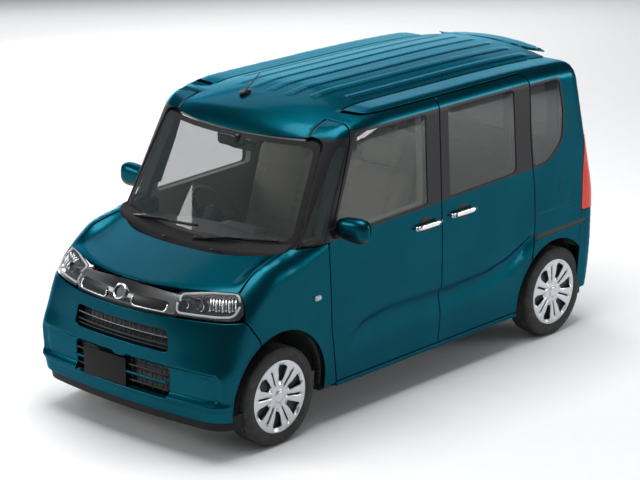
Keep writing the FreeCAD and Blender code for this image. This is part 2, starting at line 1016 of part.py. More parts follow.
def build_side_frame():
    """Left side frame: roof rail, pillars, sill and rear quarter round the door openings."""
    outline_points = [
        (frame_front_y, sill_z),
        (frame_front_y, belt_z),
        (-half_length, belt_z),
        (-half_length, overall_height + overrun),
        (half_length + overrun, overall_height + overrun),
        (half_length + overrun, sill_z),
    ]
    region = side_prism(outline_points, ditch_x, half_width + overrun)
    wall = cabin_form(0).common(region).cut(cabin_form(frame_wall))
    doors = [front_door_outline(), slide_door_outline()]
    for points in doors:
        wall = wall.cut(outer_side(points, panel_gap).cut(side_form(door_wall + panel_gap)))
    wall = wall.cut(outer_side(front_door_outline(), -flange))
    wall = wall.cut(outer_side(slide_door_outline(), -flange))
    wall = wall.cut(outer_side(quarter_outline())).cut(outer_side(corner_glass_outline()))
    wall = wall.cut(fender_region().cut(side_form(skin)))
    wall = wall.cut(box(0, half_width - frame_wall, -half_length, door_front_belt_y, 0, belt_z))
    wall = wall.cut(screen_opening()).cut(gate_region(panel_gap))
    wall = wall.cut(tail_lamp_region()).cut(rear_bumper_region())
    wall = wall.cut(front_arch()).cut(rear_arch())
    wall = wall.cut(box(ditch_x - ditch_width, ditch_x + ditch_width / 2, -half_length, half_length + overrun,
                        shoulder_z - 2 * rail_drop, overall_height))
    wall = wall.cut(rail_groove())
    return one_solid(wall)


def rail_groove():
    return box(half_width - rail_depth, half_width + overrun, rail_front_y, rail_rear_y, rail_low_z, rail_high_z)


def fuel_disc(radius, depth_low, depth_high):
    reach = half_width + overrun - (half_width - depth_high)
    disc = Part.makeCylinder(radius, reach, Vector(half_width - depth_high, fuel_lid_y, fuel_lid_z), Vector(1, 0, 0))
    return disc.common(side_form(depth_low))


def fuel_upright(radius, half_height):
    """A short upright cylinder on the fuel lid's hinge axis."""
    base = Vector(half_width - fuel_axis_depth, fuel_axis_y, fuel_lid_z - half_height)
    return Part.makeCylinder(radius, 2 * half_height, base)


def fuel_lugs(half_depth, low, high, back):
    """The two ears above and below the lid's hinge barrel."""
    x = half_width - fuel_axis_depth
    front = fuel_axis_y - fuel_lug_reach
    upper = box(x - half_depth, x + half_depth, front, fuel_axis_y + back, fuel_lid_z + low, fuel_lid_z + high)
    lower = box(x - half_depth, x + half_depth, front, fuel_axis_y + back, fuel_lid_z - high, fuel_lid_z - low)
    return upper.fuse(lower)


def build_fuel_lid():
    """Round fuel lid with the hinge barrel on its front edge."""
    lid = fuel_disc(fuel_lid_diameter / 2, 0, overrun).cut(side_form(fuel_lid_thickness))
    barrel = fuel_upright(fuel_barrel_radius, fuel_barrel_height / 2)
    room = fuel_lugs(overrun, fuel_lug_low - panel_gap, fuel_lug_high + panel_gap, fuel_barrel_radius + panel_gap)
    return one_solid(lid.cut(room).fuse(barrel).cut(fuel_upright(fuel_pin_radius + spindle_clearance, overrun)))


def add_fuel_hinge(frame):
    """The pocket behind the fuel lid, with the lid's hinge pin between two ears."""
    ears = fuel_lugs(fuel_barrel_radius, fuel_lug_low, fuel_lug_high, fuel_barrel_radius)
    return one_solid(add_fuel_hinge(frame).fuse(ears).fuse(fuel_upright(fuel_pin_radius, fuel_lug_high)))


def fuel_pocket():
    radius = fuel_lid_diameter / 2 + panel_gap
    return arch(fuel_lid_y, fuel_lid_z, radius, half_width - fuel_pocket_depth, half_width + overrun)


def build_roof():
    """Roof panel between the ditches, with the header above the windscreen."""
    region = box(-ditch_x, ditch_x, -half_length, gate_front_y - panel_gap, belt_z, overall_height)
    top = roof_form(0).common(screen_form(0)).common(region).cut(roof_form(roof_wall).common(screen_form(roof_wall)))
    high = overall_height - rail_drop * 2 - crown_rise
    for side in (-1, 1):
        middle = side * ditch_x
        top = top.cut(box(middle - ditch_width / 2, middle + ditch_width / 2, -half_length, half_length, high, overall_height))
    front = box(-ditch_x, ditch_x, -half_length, 0, screen_top_z - screen_top_sag - roof_wall, overall_height)
    back = box(-ditch_x, ditch_x, -front_overhang, half_length, belt_z, overall_height)
    return one_solid(top.common(front.fuse(back)).cut(screen_opening()))


def build_screen():
    region = screen_opening()
    return one_solid(glass_form(glass_inset).common(region).cut(glass_form(glass_inset + glass_thickness)))


def build_cowl():
    """Black tray between the bonnet and the windscreen's foot."""
    region = box(-bonnet_half_width, bonnet_half_width, -half_length, -front_overhang, cowl_z, belt_z - panel_gap)
    strip = glass_form(0).common(region).cut(glass_form(skin)).cut(screen_opening())
    half = [
        (bonnet_half_width, firewall_y + firewall_thickness),
        (bonnet_half_width, cowl_front_y),
        (bonnet_back_x, bonnet_back_mid_y - cowl_overlap, lower_blend_radius),
        (0, bonnet_back_centre_y - cowl_overlap, lower_blend_radius),
    ]
    tray = plan_prism(both_sides(half), cowl_z, cowl_z + cowl_thickness)
    return one_solid(strip.fuse(tray))


def build_bonnet():
    region = bonnet_region()
    panel = ring(front_form, 0, skin, region)
    return one_solid(panel)


def build_fender():
    wall = ring(front_form, 0, skin, fender_region()).cut(bonnet_region(panel_gap)).cut(lamp_region())
    wall = wall.cut(front_arch()).cut(bonnet_wide_region()).cut(screen_opening())
    pillar_foot = box(0, half_width, frame_front_y - panel_gap, 0, sill_z, overall_height)
    return one_solid(wall.cut(pillar_foot.common(side_form(skin))))


def bonnet_wide_region():
    """The space inboard of the fender's top flange."""
    return box(-bonnet_half_width - panel_gap, bonnet_half_width + panel_gap, -half_length, half_length, grille_low_z, overall_height)


def build_headlamp():
    wall = ring(front_form, 0, lamp_depth, lamp_region())
    return one_solid(wall.cut(bonnet_region(panel_gap)))


def build_grille():
    """Upper grille band: a recessed board with two raised rounded pods."""
    region = box(-lamp_inner_x, lamp_inner_x, -half_length - overrun, lamp_rear_y, grille_low_z, grille_high_z)
    board = ring(front_form, grille_recess, grille_recess + grille_depth, region)
    pods = []
    for side in (-1, 1):
        low, high = sorted((side * grille_pod_inner_x, side * grille_pod_outer_x))
        frame_points = [(low, grille_pod_low_z, grille_recess), (low, grille_pod_high_z, grille_recess),
                        (high, grille_pod_high_z, grille_recess), (high, grille_pod_low_z, grille_recess)]
        pod = front_prism(frame_points, -half_length - overrun, front_axle_y)
        pods.append(ring(front_form, panel_gap, grille_recess + grille_depth / 2, pod))
    for pod in pods:
        board = board.fuse(pod)
    return one_solid(board)


def opening_outline(half_wide, low, high):
    return both_sides([(half_wide, low, intake_radius), (half_wide, high, intake_radius)])


def build_front_bumper():
    """Front bumper cover with the two air openings, a bar across each."""
    wall = ring(front_form, 0, skin, bumper_region()).cut(front_arch()).cut(mirrored(front_arch()))
    openings = [(intake_half_width, intake_low_z, intake_high_z), (mouth_half_width, mouth_low_z, mouth_high_z)]
    for half_wide, low, high in openings:
        hole = front_prism(opening_outline(half_wide, low, high), -half_length - overrun, front_axle_y)
        wall = wall.cut(hole)
        middle = (low + high) / 2
        slats = box(-half_wide - skin / 2, half_wide + skin / 2, -half_length - overrun, front_axle_y,
                    middle - slat_height / 2, middle + slat_height / 2)
        wall = wall.fuse(ring(front_form, slat_inset, skin, slats))
    return one_solid(wall)


def build_rear_bumper():
    wall = ring(cabin_form, 0, skin, rear_bumper_region()).cut(gate_region(panel_gap))
    wall = wall.cut(rear_arch()).cut(mirrored(rear_arch()))
    return one_solid(wall)


def build_tail_lamp():
    wall = ring(cabin_form, 0, tail_lamp_depth, tail_lamp_region())
    return one_solid(wall)


def build_tailgate():
    """Tailgate with its window opening and the roof spoiler."""
    wall = cabin_form(0).fuse(roof_form(0).common(tail_form(0))).common(gate_region()).cut(cabin_form(gate_wall))
    low_roof = roof_form(roof_wall).common(box(-half_width, half_width, -half_length, gate_inner_top_y, belt_z, overall_height))
    wall = wall.cut(low_roof)
    side = [
        (spoiler_front_y, spoiler_low_z),
        (spoiler_front_y, overall_height + overrun),
        (spoiler_y + overrun, overall_height + overrun),
        (spoiler_y, spoiler_tip_z),
    ]
    lip = side_prism(side, -spoiler_half_width, spoiler_half_width).common(roof_form(0))
    plan = both_sides([(spoiler_half_width, 0), (spoiler_half_width, spoiler_y - overrun, overrun), (tail_flat_x, spoiler_y)])
    lip = lip.common(plan_prism(plan, belt_z, overall_height + overrun))
    wall = wall.fuse(lip)
    window = front_prism(gate_window_outline(), gate_front_y, half_length + overrun)
    return one_solid(wall.cut(window))


def build_gate_glass():
    window = front_prism(gate_window_outline(), gate_front_y, half_length + overrun)
    return one_solid(ring(tail_glass_form, glass_inset, glass_inset + glass_thickness, window))


@memo
def tail_glass_form(inset):
    return tail_form(inset)


def build_floor():
    """Floor, firewall, rails, strut towers, wheel wells and load floor as one welded pan."""
    cabin = side_form(frame_wall)
    pieces = [
        box(-half_width, half_width, firewall_y, load_floor_y, floor_z, floor_z + floor_thickness),
        box(-half_width, half_width, load_floor_y - floor_thickness, load_floor_y, floor_z, load_floor_z),
        box(-half_width, half_width, load_floor_y - floor_thickness, load_rear_y, load_floor_z - floor_thickness, load_floor_z),
        box(-half_width, half_width, load_rear_y - floor_thickness, load_rear_y, rear_beam_z, load_floor_z),
        box(-half_width, half_width, firewall_y, firewall_y + firewall_thickness, floor_z, firewall_top_z),
        rounded_box(-tank_half_width, tank_half_width, tank_front_y, load_floor_y, tank_low_z, floor_z + floor_thickness / 2, seat_radius),
    ]
    pan = pieces[0].multiFuse(pieces[1:]).common(cabin)
    rail_x = rail_half_gap + chassis_rail_width
    for side in (-1, 1):
        low, high = sorted((side * rail_half_gap, side * rail_x))
        pan = pan.fuse(box(low, high, beam_y, firewall_y + firewall_thickness, chassis_rail_z, chassis_rail_z + chassis_rail_height))
    beam = box(-beam_half_width, beam_half_width, beam_y - beam_depth, beam_y, chassis_rail_z, chassis_rail_z + beam_height)
    pan = pan.fuse(beam.common(front_form(skin + panel_gap)))
    wells = [well(front_axle_y, front_arch_z, front_arch_radius, wheel_well_x, firewall_y, firewall_top_z),
             well(rear_arch_y, rear_arch_z, rear_arch_radius, rear_well_x, 0, 0)]
    for piece, hollow in wells:
        for turned in (piece, mirrored(piece)):
            pan = pan.fuse(turned.common(cabin))
        for turned in (hollow, mirrored(hollow)):
            pan = pan.cut(turned)
    tower = strut_tower()
    pan = pan.fuse(tower).fuse(mirrored(tower))
    return one_solid(pan)


def well(y, z, radius, x_low, y_front, top):
    """A half-round wheel well and the hollow inside it."""
    outer = arch(y, z, radius + liner_wall, x_low - liner_wall, half_width)
    hollow = arch(y, z, radius, x_low, half_width + overrun)
    keep = box(0, half_width, y_front or y - 2 * radius, y + 2 * radius, floor_z + floor_thickness, overall_height)
    return outer.common(keep), hollow


def kingpin_point(z):
    share = (z - kingpin_low_z) / (kingpin_high_z - kingpin_low_z)
    return Vector(kingpin_low_x + share * (kingpin_high_x - kingpin_low_x), front_axle_y, z)


def strut_tower():
    """Strut tower: a plate above the spring on a wall that stands on the front rail."""
    plate = box(rail_half_gap, tower_outer_x, front_axle_y - tower_radius, front_axle_y + tower_radius, tower_top_z, tower_top_z + tower_plate)
    wall = box(rail_half_gap, rail_half_gap + liner_wall, front_axle_y - tower_radius, front_axle_y + tower_radius,
               chassis_rail_z, tower_top_z + tower_plate)
    brace = box(rail_half_gap, tower_outer_x, front_axle_y + tower_radius, firewall_y + firewall_thickness / 2,
                tower_top_z, tower_top_z + tower_plate)
    hole = rod(kingpin_point(tower_top_z - overrun), kingpin_point(tower_top_z + overrun), strut_pin_diameter + 2 * seam_gap)
    return plate.fuse(wall).fuse(brace).cut(hole)


def build_knuckle():
    """Left front knuckle with its strut, spring and wheel spindle."""
    body = rod(kingpin_point(kingpin_low_z - arm_thickness), kingpin_point(kingpin_low_z + arm_thickness), strut_pin_diameter)
    body = body.fuse(rod(kingpin_point(kingpin_low_z + arm_thickness / 2 + panel_gap), kingpin_point(spring_high_z), strut_diameter))
    body = body.fuse(rod(kingpin_point(spring_low_z), kingpin_point(spring_high_z), spring_diameter))
    body = body.fuse(rod(kingpin_point(spring_high_z), kingpin_point(tower_top_z + tower_plate + panel_gap), strut_pin_diameter))
    hub = Vector(front_track / 2 - hub_offset, front_axle_y, axle_z)
    tip = Vector(front_track / 2 + spindle_reach, front_axle_y, axle_z)
    body = body.fuse(rod(kingpin_point(axle_z) - Vector(strut_diameter / 2, 0, 0), hub, spindle_diameter + 2 * panel_gap))
    body = body.fuse(rod(hub, tip, spindle_diameter))
    return one_solid(body)


def build_subframe():
    """Front cross-member with the lower arms and their eyes."""
    frame_piece = rounded_box(-subframe_width / 2, subframe_width / 2, front_axle_y - subframe_length / 2, front_axle_y + subframe_length / 2,
                              kingpin_low_z - arm_thickness / 2, kingpin_low_z - arm_thickness / 2 + subframe_height, seat_radius / 2)
    low = kingpin_point(kingpin_low_z)
    for side in (-1, 1):
        centre = Vector(side * low.x, low.y, kingpin_low_z - arm_thickness / 2)
        x_low, x_high = sorted((side * (subframe_width / 2 - arm_width), side * low.x))
        arm = box(x_low, x_high, front_axle_y - arm_width / 2, front_axle_y + arm_width / 2,
                  kingpin_low_z - arm_thickness / 2, kingpin_low_z + arm_thickness / 2)
        eye = Part.makeCylinder(arm_width / 2, arm_thickness, centre)
        frame_piece = frame_piece.fuse(arm).fuse(eye)
        post_low, post_high = sorted((side * rail_half_gap, side * (rail_half_gap + chassis_rail_width)))
        post = box(post_low, post_high, front_axle_y - arm_width / 2, front_axle_y + arm_width / 2, kingpin_low_z, chassis_rail_z)
        frame_piece = frame_piece.fuse(post)
    pin = rod(kingpin_point(kingpin_low_z - overrun), kingpin_point(kingpin_low_z + overrun), strut_pin_diameter + 2 * seam_gap)
    return one_solid(frame_piece.cut(pin).cut(mirrored(pin)))


def build_rear_axle():
    """Rear beam axle with trailing arms, springs and wheel spindles."""
    beam = rod(Vector(-rear_arm_x, rear_beam_y, axle_z), Vector(rear_arm_x, rear_beam_y, axle_z), rear_beam_diameter)
    for side in (-1, 1):
        x_low, x_high = side * rear_arm_x - trail_arm_width / 2, side * rear_arm_x + trail_arm_width / 2
        arm = box(x_low, x_high, rear_beam_y - rear_beam_diameter, rear_axle_y + rear_beam_diameter / 2,
                  axle_z - trail_arm_height / 2, axle_z + trail_arm_height / 2)
        hub = rod(Vector(side * rear_arm_x, rear_axle_y, axle_z), Vector(side * (rear_track / 2 - hub_offset), rear_axle_y, axle_z),
                  spindle_diameter + 2 * panel_gap)
        pin = rod(Vector(side * rear_arm_x, rear_axle_y, axle_z), Vector(side * (rear_track / 2 + spindle_reach), rear_axle_y, axle_z),
                  spindle_diameter)
        spring = Part.makeCylinder(rear_spring_diameter / 2, load_floor_z - floor_thickness - axle_z,
                                   Vector(side * rear_spring_x, rear_axle_y, axle_z))
        seat = box(min(side * rear_arm_x, side * rear_spring_x - rear_spring_diameter / 2),
                   max(side * rear_arm_x, side * rear_spring_x + rear_spring_diameter / 2),
                   rear_axle_y - rear_spring_diameter / 2, rear_axle_y + rear_spring_diameter / 2,
                   axle_z - trail_arm_height / 2, axle_z)
        beam = beam.multiFuse([arm, hub, pin, spring, seat])
    return one_solid(beam)


def turned_ring(points, x, y):
    """A half-section (axial, radius) turned about a wheel's axle."""
    flat = face(points, on_front)
    flat.translate(Vector(x, y, axle_z))
    return flat.revolve(Vector(x, y, axle_z), Vector(1, 0, 0), 360)


def build_tyre(x, y):
    bead = rim_width / 2 - seam_gap
    side = tyre_width / 2
    rim = rim_diameter / 2 + seam_gap
    tread = tyre_diameter / 2
    mid = (rim + tread) / 2
    points = [
        (-bead, rim),
        (-bead, rim + rim_lip),
        (-side, mid, tyre_round),
        (-tread_width / 2, tread, tyre_round / 2),
        (tread_width / 2, tread, tyre_round / 2),
        (side, mid, tyre_round),
        (bead, rim + rim_lip),
        (bead, rim),
    ]
    inner = [
        (-bead + tyre_wall, rim - rim_wall),
        (-bead + tyre_wall, rim + rim_lip),
        (-side + tyre_wall, mid, tyre_round / 2),
        (-tread_width / 2, tread - tyre_wall, tyre_round / 4),
        (tread_width / 2, tread - tyre_wall, tyre_round / 4),
        (side - tyre_wall, mid, tyre_round / 2),
        (bead - tyre_wall, rim + rim_lip),
        (bead - tyre_wall, rim - rim_wall),
    ]
    return turned_ring(points, x, y).cut(turned_ring(inner, x, y))


def build_wheel(x, y):
    """Left wheel: barrel, disc, hub and the cover with its twin spokes and windows."""
    half = rim_width / 2
    rim = rim_diameter / 2
    barrel = [
        (-half - rim_wall, rim + rim_lip - panel_gap),
        (-half, rim + rim_lip - panel_gap),
        (-half, rim),
        (half, rim),
        (half, rim + rim_lip - panel_gap),
        (half + rim_wall, rim + rim_lip - panel_gap),
        (half + rim_wall, rim - rim_wall),
        (-half - rim_wall, rim - rim_wall),
    ]
    disc = [
        (disc_x, spindle_diameter / 2 + spindle_clearance),
        (disc_x, rim - rim_wall / 2),
        (disc_x + rim_wall, rim - rim_wall / 2),
        (disc_x + rim_wall, hub_diameter / 2),
        (spindle_reach + panel_gap * 2, hub_diameter / 2),
        (spindle_reach + panel_gap * 2, spindle_diameter / 2 + spindle_clearance),
    ]
    wheel = turned_ring(barrel, x, y).fuse(turned_ring(disc, x, y))
    return one_solid(wheel.fuse(build_cover(x, y)))


def build_cover(x, y):
    """Wheel cover: a shallow dish with six pairs of spokes between dark windows."""
    outer = cover_diameter / 2
    face_x = cover_x
    dish = [
        (face_x, 0),
        (face_x + cover_bulge, 0),
        (face_x + cover_bulge, cover_cap_diameter / 2),
        (face_x + cover_thickness, outer),
        (face_x, outer),
    ]
    cover = turned_ring(dish, x, y)
    windows = []
    for step in range(spoke_pairs):
        angle = 360 * (step + 1 / 2) / spoke_pairs
        points = [
            (cover_window_low, -cover_window_width / 5, cover_window_round),
            (cover_window_high, -cover_window_width / 2, cover_window_round),
            (cover_window_high, cover_window_width / 2, cover_window_round),
            (cover_window_low, cover_window_width / 5, cover_window_round),
        ]
        flat = face([(p[1], p[0], p[2]) for p in points], on_side)
        prism = flat.extrude(Vector(cover_bulge + cover_thickness + rim_wall, 0, 0))
        prism.rotate(Vector(0, 0, 0), Vector(1, 0, 0), angle)
        prism.translate(Vector(x + face_x - rim_wall / 2, y, axle_z))
        windows.append(prism)
    post = Part.makeCylinder(hub_diameter / 4, face_x - spindle_reach - panel_gap, Vector(x + spindle_reach + panel_gap * 2, y, axle_z), Vector(1, 0, 0))
    seat = turned_ring([(rim_width / 2 + rim_wall, rim_diameter / 2 - rim_wall), (rim_width / 2 + rim_wall, rim_diameter / 2),
                        (face_x + rim_wall / 2, rim_diameter / 2), (face_x + rim_wall / 2, rim_diameter / 2 - rim_wall)], x, y)
    for window in windows:
        cover = cover.cut(window)
    return cover.fuse(post).fuse(seat)


def build_mirror():
    """Left door mirror: a rounded head on an arm from the door."""
    low_x = half_width + mirror_gap
    head = rounded_box(low_x, low_x + mirror_width, mirror_y - mirror_depth / 2, mirror_y + mirror_depth / 2,
                       mirror_z - mirror_height / 2, mirror_z + mirror_height / 2, mirror_radius)
    base_z = mirror_z - mirror_height / 4
    arm = box(half_width - overrun, low_x + mirror_radius * 2, mirror_y + mirror_depth / 2 - mirror_arm, mirror_y + mirror_depth / 2 - panel_gap,
              base_z - mirror_arm / 4, base_z + mirror_arm / 4)
    return one_solid(head.fuse(arm.cut(side_form(0))))


def build_wiper(pivot_x, tip_x):
    """A wiper arm and blade following the glass from its pivot to its tip."""
    points = []
    for step in range(wiper_steps + 1):
        share = step / wiper_steps
        x = pivot_x + share * (tip_x - pivot_x)
        z = wiper_z + share * wiper_rise
        y = screen_surface_y(x, z) - wiper_standoff
        points.append(Vector(x, y, z))
    arm = Part.makeSphere(wiper_width / 2, points[0])
    for start, end in zip(points, points[1:]):
        arm = arm.fuse(rod(start, end, wiper_width)).fuse(Part.makeSphere(wiper_width / 2, end))
    drop = wiper_z - cowl_z - cowl_thickness
    post = rod(points[0], points[0] - Vector(0, screen_slope * drop, drop), wiper_width)
    post = post.cut(box(-half_width, half_width, -half_length, 0, 0, cowl_z + cowl_thickness))
    return one_solid(arm.fuse(post))


def screen_surface_y(x, z):
    """How far back the windscreen's outer surface lies."""
    side = min(abs(x) / pillar_x, 1)
    bow = (pillar_y - screen_base_y) * side ** 2
    return screen_base_y + bow + screen_slope * (z - screen_base_z)


def build_aerial():
    foot = rounded_box(aerial_x - aerial_foot_width / 2, aerial_x + aerial_foot_width / 2, aerial_y - aerial_foot_length / 2,
                       aerial_y + aerial_foot_length / 2, aerial_foot_z, aerial_foot_z + aerial_foot_height * 2, aerial_foot_width / 4)
    lean = math.radians(aerial_lean)
    start = Vector(aerial_x, aerial_y, aerial_foot_z + aerial_foot_height)
    tip = start + Vector(0, math.sin(lean), math.cos(lean)) * aerial_length
    return one_solid(foot.fuse(rod(start, tip, aerial_diameter)).cut(roof_form(0)))


def build_engine():
    low = engine_low_z
    block = rounded_box(-rail_half_gap, rail_half_gap, engine_y - engine_length / 2, engine_y + engine_length / 2,
                        low, low + engine_height, seat_radius / 2)
    radiator = box(-radiator_width / 2, radiator_width / 2, radiator_y, radiator_y + radiator_thickness,
                   radiator_low_z, radiator_low_z + radiator_height)
    return Part.makeCompound([block, radiator])


def build_exhaust():
    pipe = rod(Vector(exhaust_x, exhaust_front_y, exhaust_z), Vector(exhaust_x, exhaust_rear_y, exhaust_z), exhaust_diameter)
    muffler = rounded_box(exhaust_x - muffler_width / 2, exhaust_x + muffler_width / 2, exhaust_rear_y - muffler_length, exhaust_rear_y,
                          exhaust_z - muffler_height / 2, exhaust_z + muffler_height / 2, seat_radius)
    tail = rod(Vector(exhaust_x, exhaust_rear_y - muffler_length / 2, exhaust_z), Vector(exhaust_x, exhaust_tip_y, exhaust_z), exhaust_diameter)
    whole = pipe.fuse(muffler).fuse(tail)
    for place in (exhaust_front_y + muffler_length, exhaust_rear_y - muffler_length / 2):
        top = floor_z if place < load_floor_y else load_floor_z - floor_thickness
        whole = whole.fuse(box(exhaust_x - arm_thickness / 2, exhaust_x + arm_thickness / 2, place - arm_thickness, place + arm_thickness,
                               exhaust_z, top))
    return one_solid(whole)


def build_seat(x, y, width, back_height):
    """A seat with a leaning back, head rest and a foot down to the floor."""
    half = width / 2
    base_z = seat_z - seat_thickness
    cushion = rounded_box(x - half, x + half, y - seat_length / 2, y + seat_length / 2, base_z, seat_z, seat_radius)
    lean = seat_back_lean
    root = y + seat_length / 2 - seat_back_thickness
    side = [
        (root, base_z, seat_radius),
        (root + lean * back_height, base_z + back_height + seat_thickness, seat_radius),
        (root + lean * back_height + seat_back_thickness, base_z + back_height + seat_thickness, seat_radius),
        (root + seat_back_thickness * 3 / 2, base_z, seat_radius),
    ]
    back = side_prism(side, x - half, x + half)
    foot = box(x - half / 2, x + half / 2, y - seat_leg_width, y + seat_leg_width * 2, floor_z + floor_thickness, base_z + seat_radius)
    return cushion.multiFuse([back, foot] + head_rests(x, root, back_height, width))


def head_rests(x, root, back_height, width):
    places = [x] if width < 2 * seat_width else [x - width / 4, x + width / 4]
    rests = []
    top = seat_z - seat_thickness + back_height + seat_thickness
    y = root + seat_back_lean * back_height + seat_back_thickness / 4
    for place in places:
        rest = rounded_box(place - head_rest_width / 2, place + head_rest_width / 2, y, y + head_rest_thickness,
                           top + head_rest_gap, top + head_rest_gap + head_rest_height, seat_radius)
        post = box(place - seat_leg_width / 2, place + seat_leg_width / 2, y + head_rest_thickness / 4, y + head_rest_thickness / 2,
                   top - seat_radius, top + head_rest_gap + seat_radius)
        rests.extend([rest, post])
    return rests


def build_dashboard():
    side = [
        (dash_front_y, dash_low_z + overrun),
        (dash_front_y, dash_top_z - overrun / 2, seat_radius),
        (dash_rear_y - overrun * 2, dash_top_z, seat_radius),
        (dash_rear_y, dash_top_z - overrun * 2, seat_radius),
        (dash_rear_y - overrun, dash_low_z, seat_radius),
    ]
    board = side_prism(side, -half_width, half_width).common(side_form(frame_wall)).common(screen_form(dash_setback))
    board = board.cut(box(-half_width, half_width, -half_length, firewall_y + firewall_thickness, 0, cowl_z + 2 * cowl_thickness))
    axis = steering_direction()
    centre = Vector(driver_x, steering_y, steering_z)
    column = rod(centre - axis * (steering_hub_length / 2 + steering_gap), centre - axis * steering_column * 2, strut_diameter)
    board = board.fuse(column)
    sleeve_end = centre - axis * (steering_hub_length / 2 + steering_gap)
    pin = rod(sleeve_end - axis * overrun / 2, sleeve_end + axis * overrun / 2, strut_pin_diameter)
    return one_solid(board.fuse(pin))


def steering_direction():
    """From the dashboard towards the driver along the column."""
    tilt = math.radians(steering_tilt)
    return Vector(0, math.cos(tilt), math.sin(tilt))


def build_steering_wheel():
    """Right-hand-drive steering wheel, turning on the end of its column."""
    axis = steering_direction()
    centre = Vector(driver_x, steering_y, steering_z)
    wheel = Part.makeTorus(steering_diameter / 2 - steering_rim / 2, steering_rim / 2, centre, axis)
    start = centre - axis * steering_hub_length / 2
    hub = Part.makeCylinder(steering_hub_diameter / 2, steering_hub_length, start, axis)
    wheel = wheel.fuse(hub)
    across = Vector(1, 0, 0)
    down = across.cross(axis)
    if down.z > 0:
        down = down * -1
    for direction in (across, across * -1, down):
        spoke = rod(centre, centre + direction * (steering_diameter - steering_rim) / 2, steering_rim * 3 / 4)
        wheel = wheel.fuse(spoke)
    bore = rod(start - axis * panel_gap, start + axis * (overrun / 2), strut_pin_diameter + 2 * seam_gap)
    return one_solid(wheel.cut(bore))


def pair(shape):
    return Part.makeCompound([shape, mirrored(shape)])


def build():
    nodes = {}
    door = build_front_door()
    front_glass = pane(front_window_outline())
    mirror = build_mirror()
    handle = build_handle(handle_front_y)
    knuckle = build_knuckle()
    slide = build_slide_door()
    frame = build_side_frame()
    moving_sides = {
        "front_door": door, "front_glass": front_glass, "mirror": mirror, "door_handle": handle,
        "knuckle": knuckle, "sliding_door": slide,
    }
    for name, shape in moving_sides.items():
        nodes[name + "_left"] = shape
        nodes[name + "_right"] = mirrored(shape)
    nodes["side_frame_left"] = frame.cut(fuel_pocket())
    nodes["side_frame_right"] = mirrored(frame)
    nodes["fuel_lid"] = build_fuel_lid()
    nodes["side_windows"] = Part.makeCompound([
        turned for points in (slide_window_outline(), quarter_outline(), corner_glass_outline())
        for glass in (pane(points),) for turned in (glass, mirrored(glass))])
    nodes["sliding_door_handles"] = pair(build_handle(handle_slide_y))
    nodes["roof_panel"] = build_roof()
    nodes["windscreen"] = build_screen()
    nodes["cowl_panel"] = build_cowl()
    nodes["bonnet"] = build_bonnet()
    nodes["front_fenders"] = pair(build_fender())
    nodes["headlamps"] = pair(build_headlamp())
    nodes["front_grille"] = build_grille()
    nodes["front_bumper"] = build_front_bumper()
    nodes["rear_bumper"] = build_rear_bumper()
    nodes["tail_lamps"] = pair(build_tail_lamp())
    nodes["tailgate"] = build_tailgate()
    nodes["tailgate_glass"] = build_gate_glass()
    nodes["floor_pan"] = build_floor()
    nodes["front_subframe"] = build_subframe()
    nodes["rear_axle"] = build_rear_axle()
    nodes["engine_block"] = build_engine()
    nodes["exhaust"] = build_exhaust()
    nodes["front_seats"] = pair(build_seat(-driver_x, front_seat_y, seat_width, seat_back_height))
    nodes["rear_seat"] = build_seat(0, rear_seat_y, rear_seat_width, rear_seat_back_height)
    nodes["dashboard"] = build_dashboard()
    nodes["steering_wheel"] = build_steering_wheel()
    nodes["wipers"] = Part.makeCompound([build_wiper(start, end) for start, end in ((wiper_one_x, wiper_one_tip_x), (wiper_two_x, wiper_two_tip_x))])
    nodes["aerial"] = build_aerial()
    places = {"front": (front_track / 2, front_axle_y), "rear": (rear_track / 2, rear_axle_y)}
    for where, (x, y) in places.items():
        tyre = build_tyre(x, y)
        wheel = build_wheel(x, y)
        nodes["tyre_" + where + "_left"] = tyre
        nodes["tyre_" + where + "_right"] = mirrored(tyre)
        nodes["wheel_" + where + "_left"] = wheel
        nodes["wheel_" + where + "_right"] = mirrored(wheel)
    return nodes


os.makedirs("parts", exist_ok=True)
for node_name, node_shape in build().items():
    node_shape.exportStep("parts/" + node_name + ".step")
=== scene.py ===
"""Kei car: body panels, glass, lamps, wheels, cabin and studio round the fixed CAD frame."""
import json
import math

import bmesh
import bpy
import numpy as np
from mathutils import Euler, Matrix, Vector
from mathutils.geometry import delaunay_2d_cdt


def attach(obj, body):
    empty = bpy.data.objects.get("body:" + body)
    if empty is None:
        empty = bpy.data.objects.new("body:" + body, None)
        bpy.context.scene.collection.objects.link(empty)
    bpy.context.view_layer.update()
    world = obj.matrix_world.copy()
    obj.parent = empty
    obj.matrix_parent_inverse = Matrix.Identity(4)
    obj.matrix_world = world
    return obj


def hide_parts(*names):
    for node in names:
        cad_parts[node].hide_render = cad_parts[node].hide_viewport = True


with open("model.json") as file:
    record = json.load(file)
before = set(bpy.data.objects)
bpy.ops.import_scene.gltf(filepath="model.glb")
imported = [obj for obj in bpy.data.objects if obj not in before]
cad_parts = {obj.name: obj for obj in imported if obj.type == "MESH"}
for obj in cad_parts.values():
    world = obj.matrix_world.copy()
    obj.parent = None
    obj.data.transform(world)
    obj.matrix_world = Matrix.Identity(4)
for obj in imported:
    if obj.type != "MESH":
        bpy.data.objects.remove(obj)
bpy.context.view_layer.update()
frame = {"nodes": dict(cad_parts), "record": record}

bl_info = {
    "name": "Kei car",
    "version": (1, 0, 0),
    "blender": (4, 5, 0),
    "location": "3D View > Sidebar > Kei car",
    "description": "Builds the kei car's visible pieces on its CAD frame",
    "category": "Object",
}

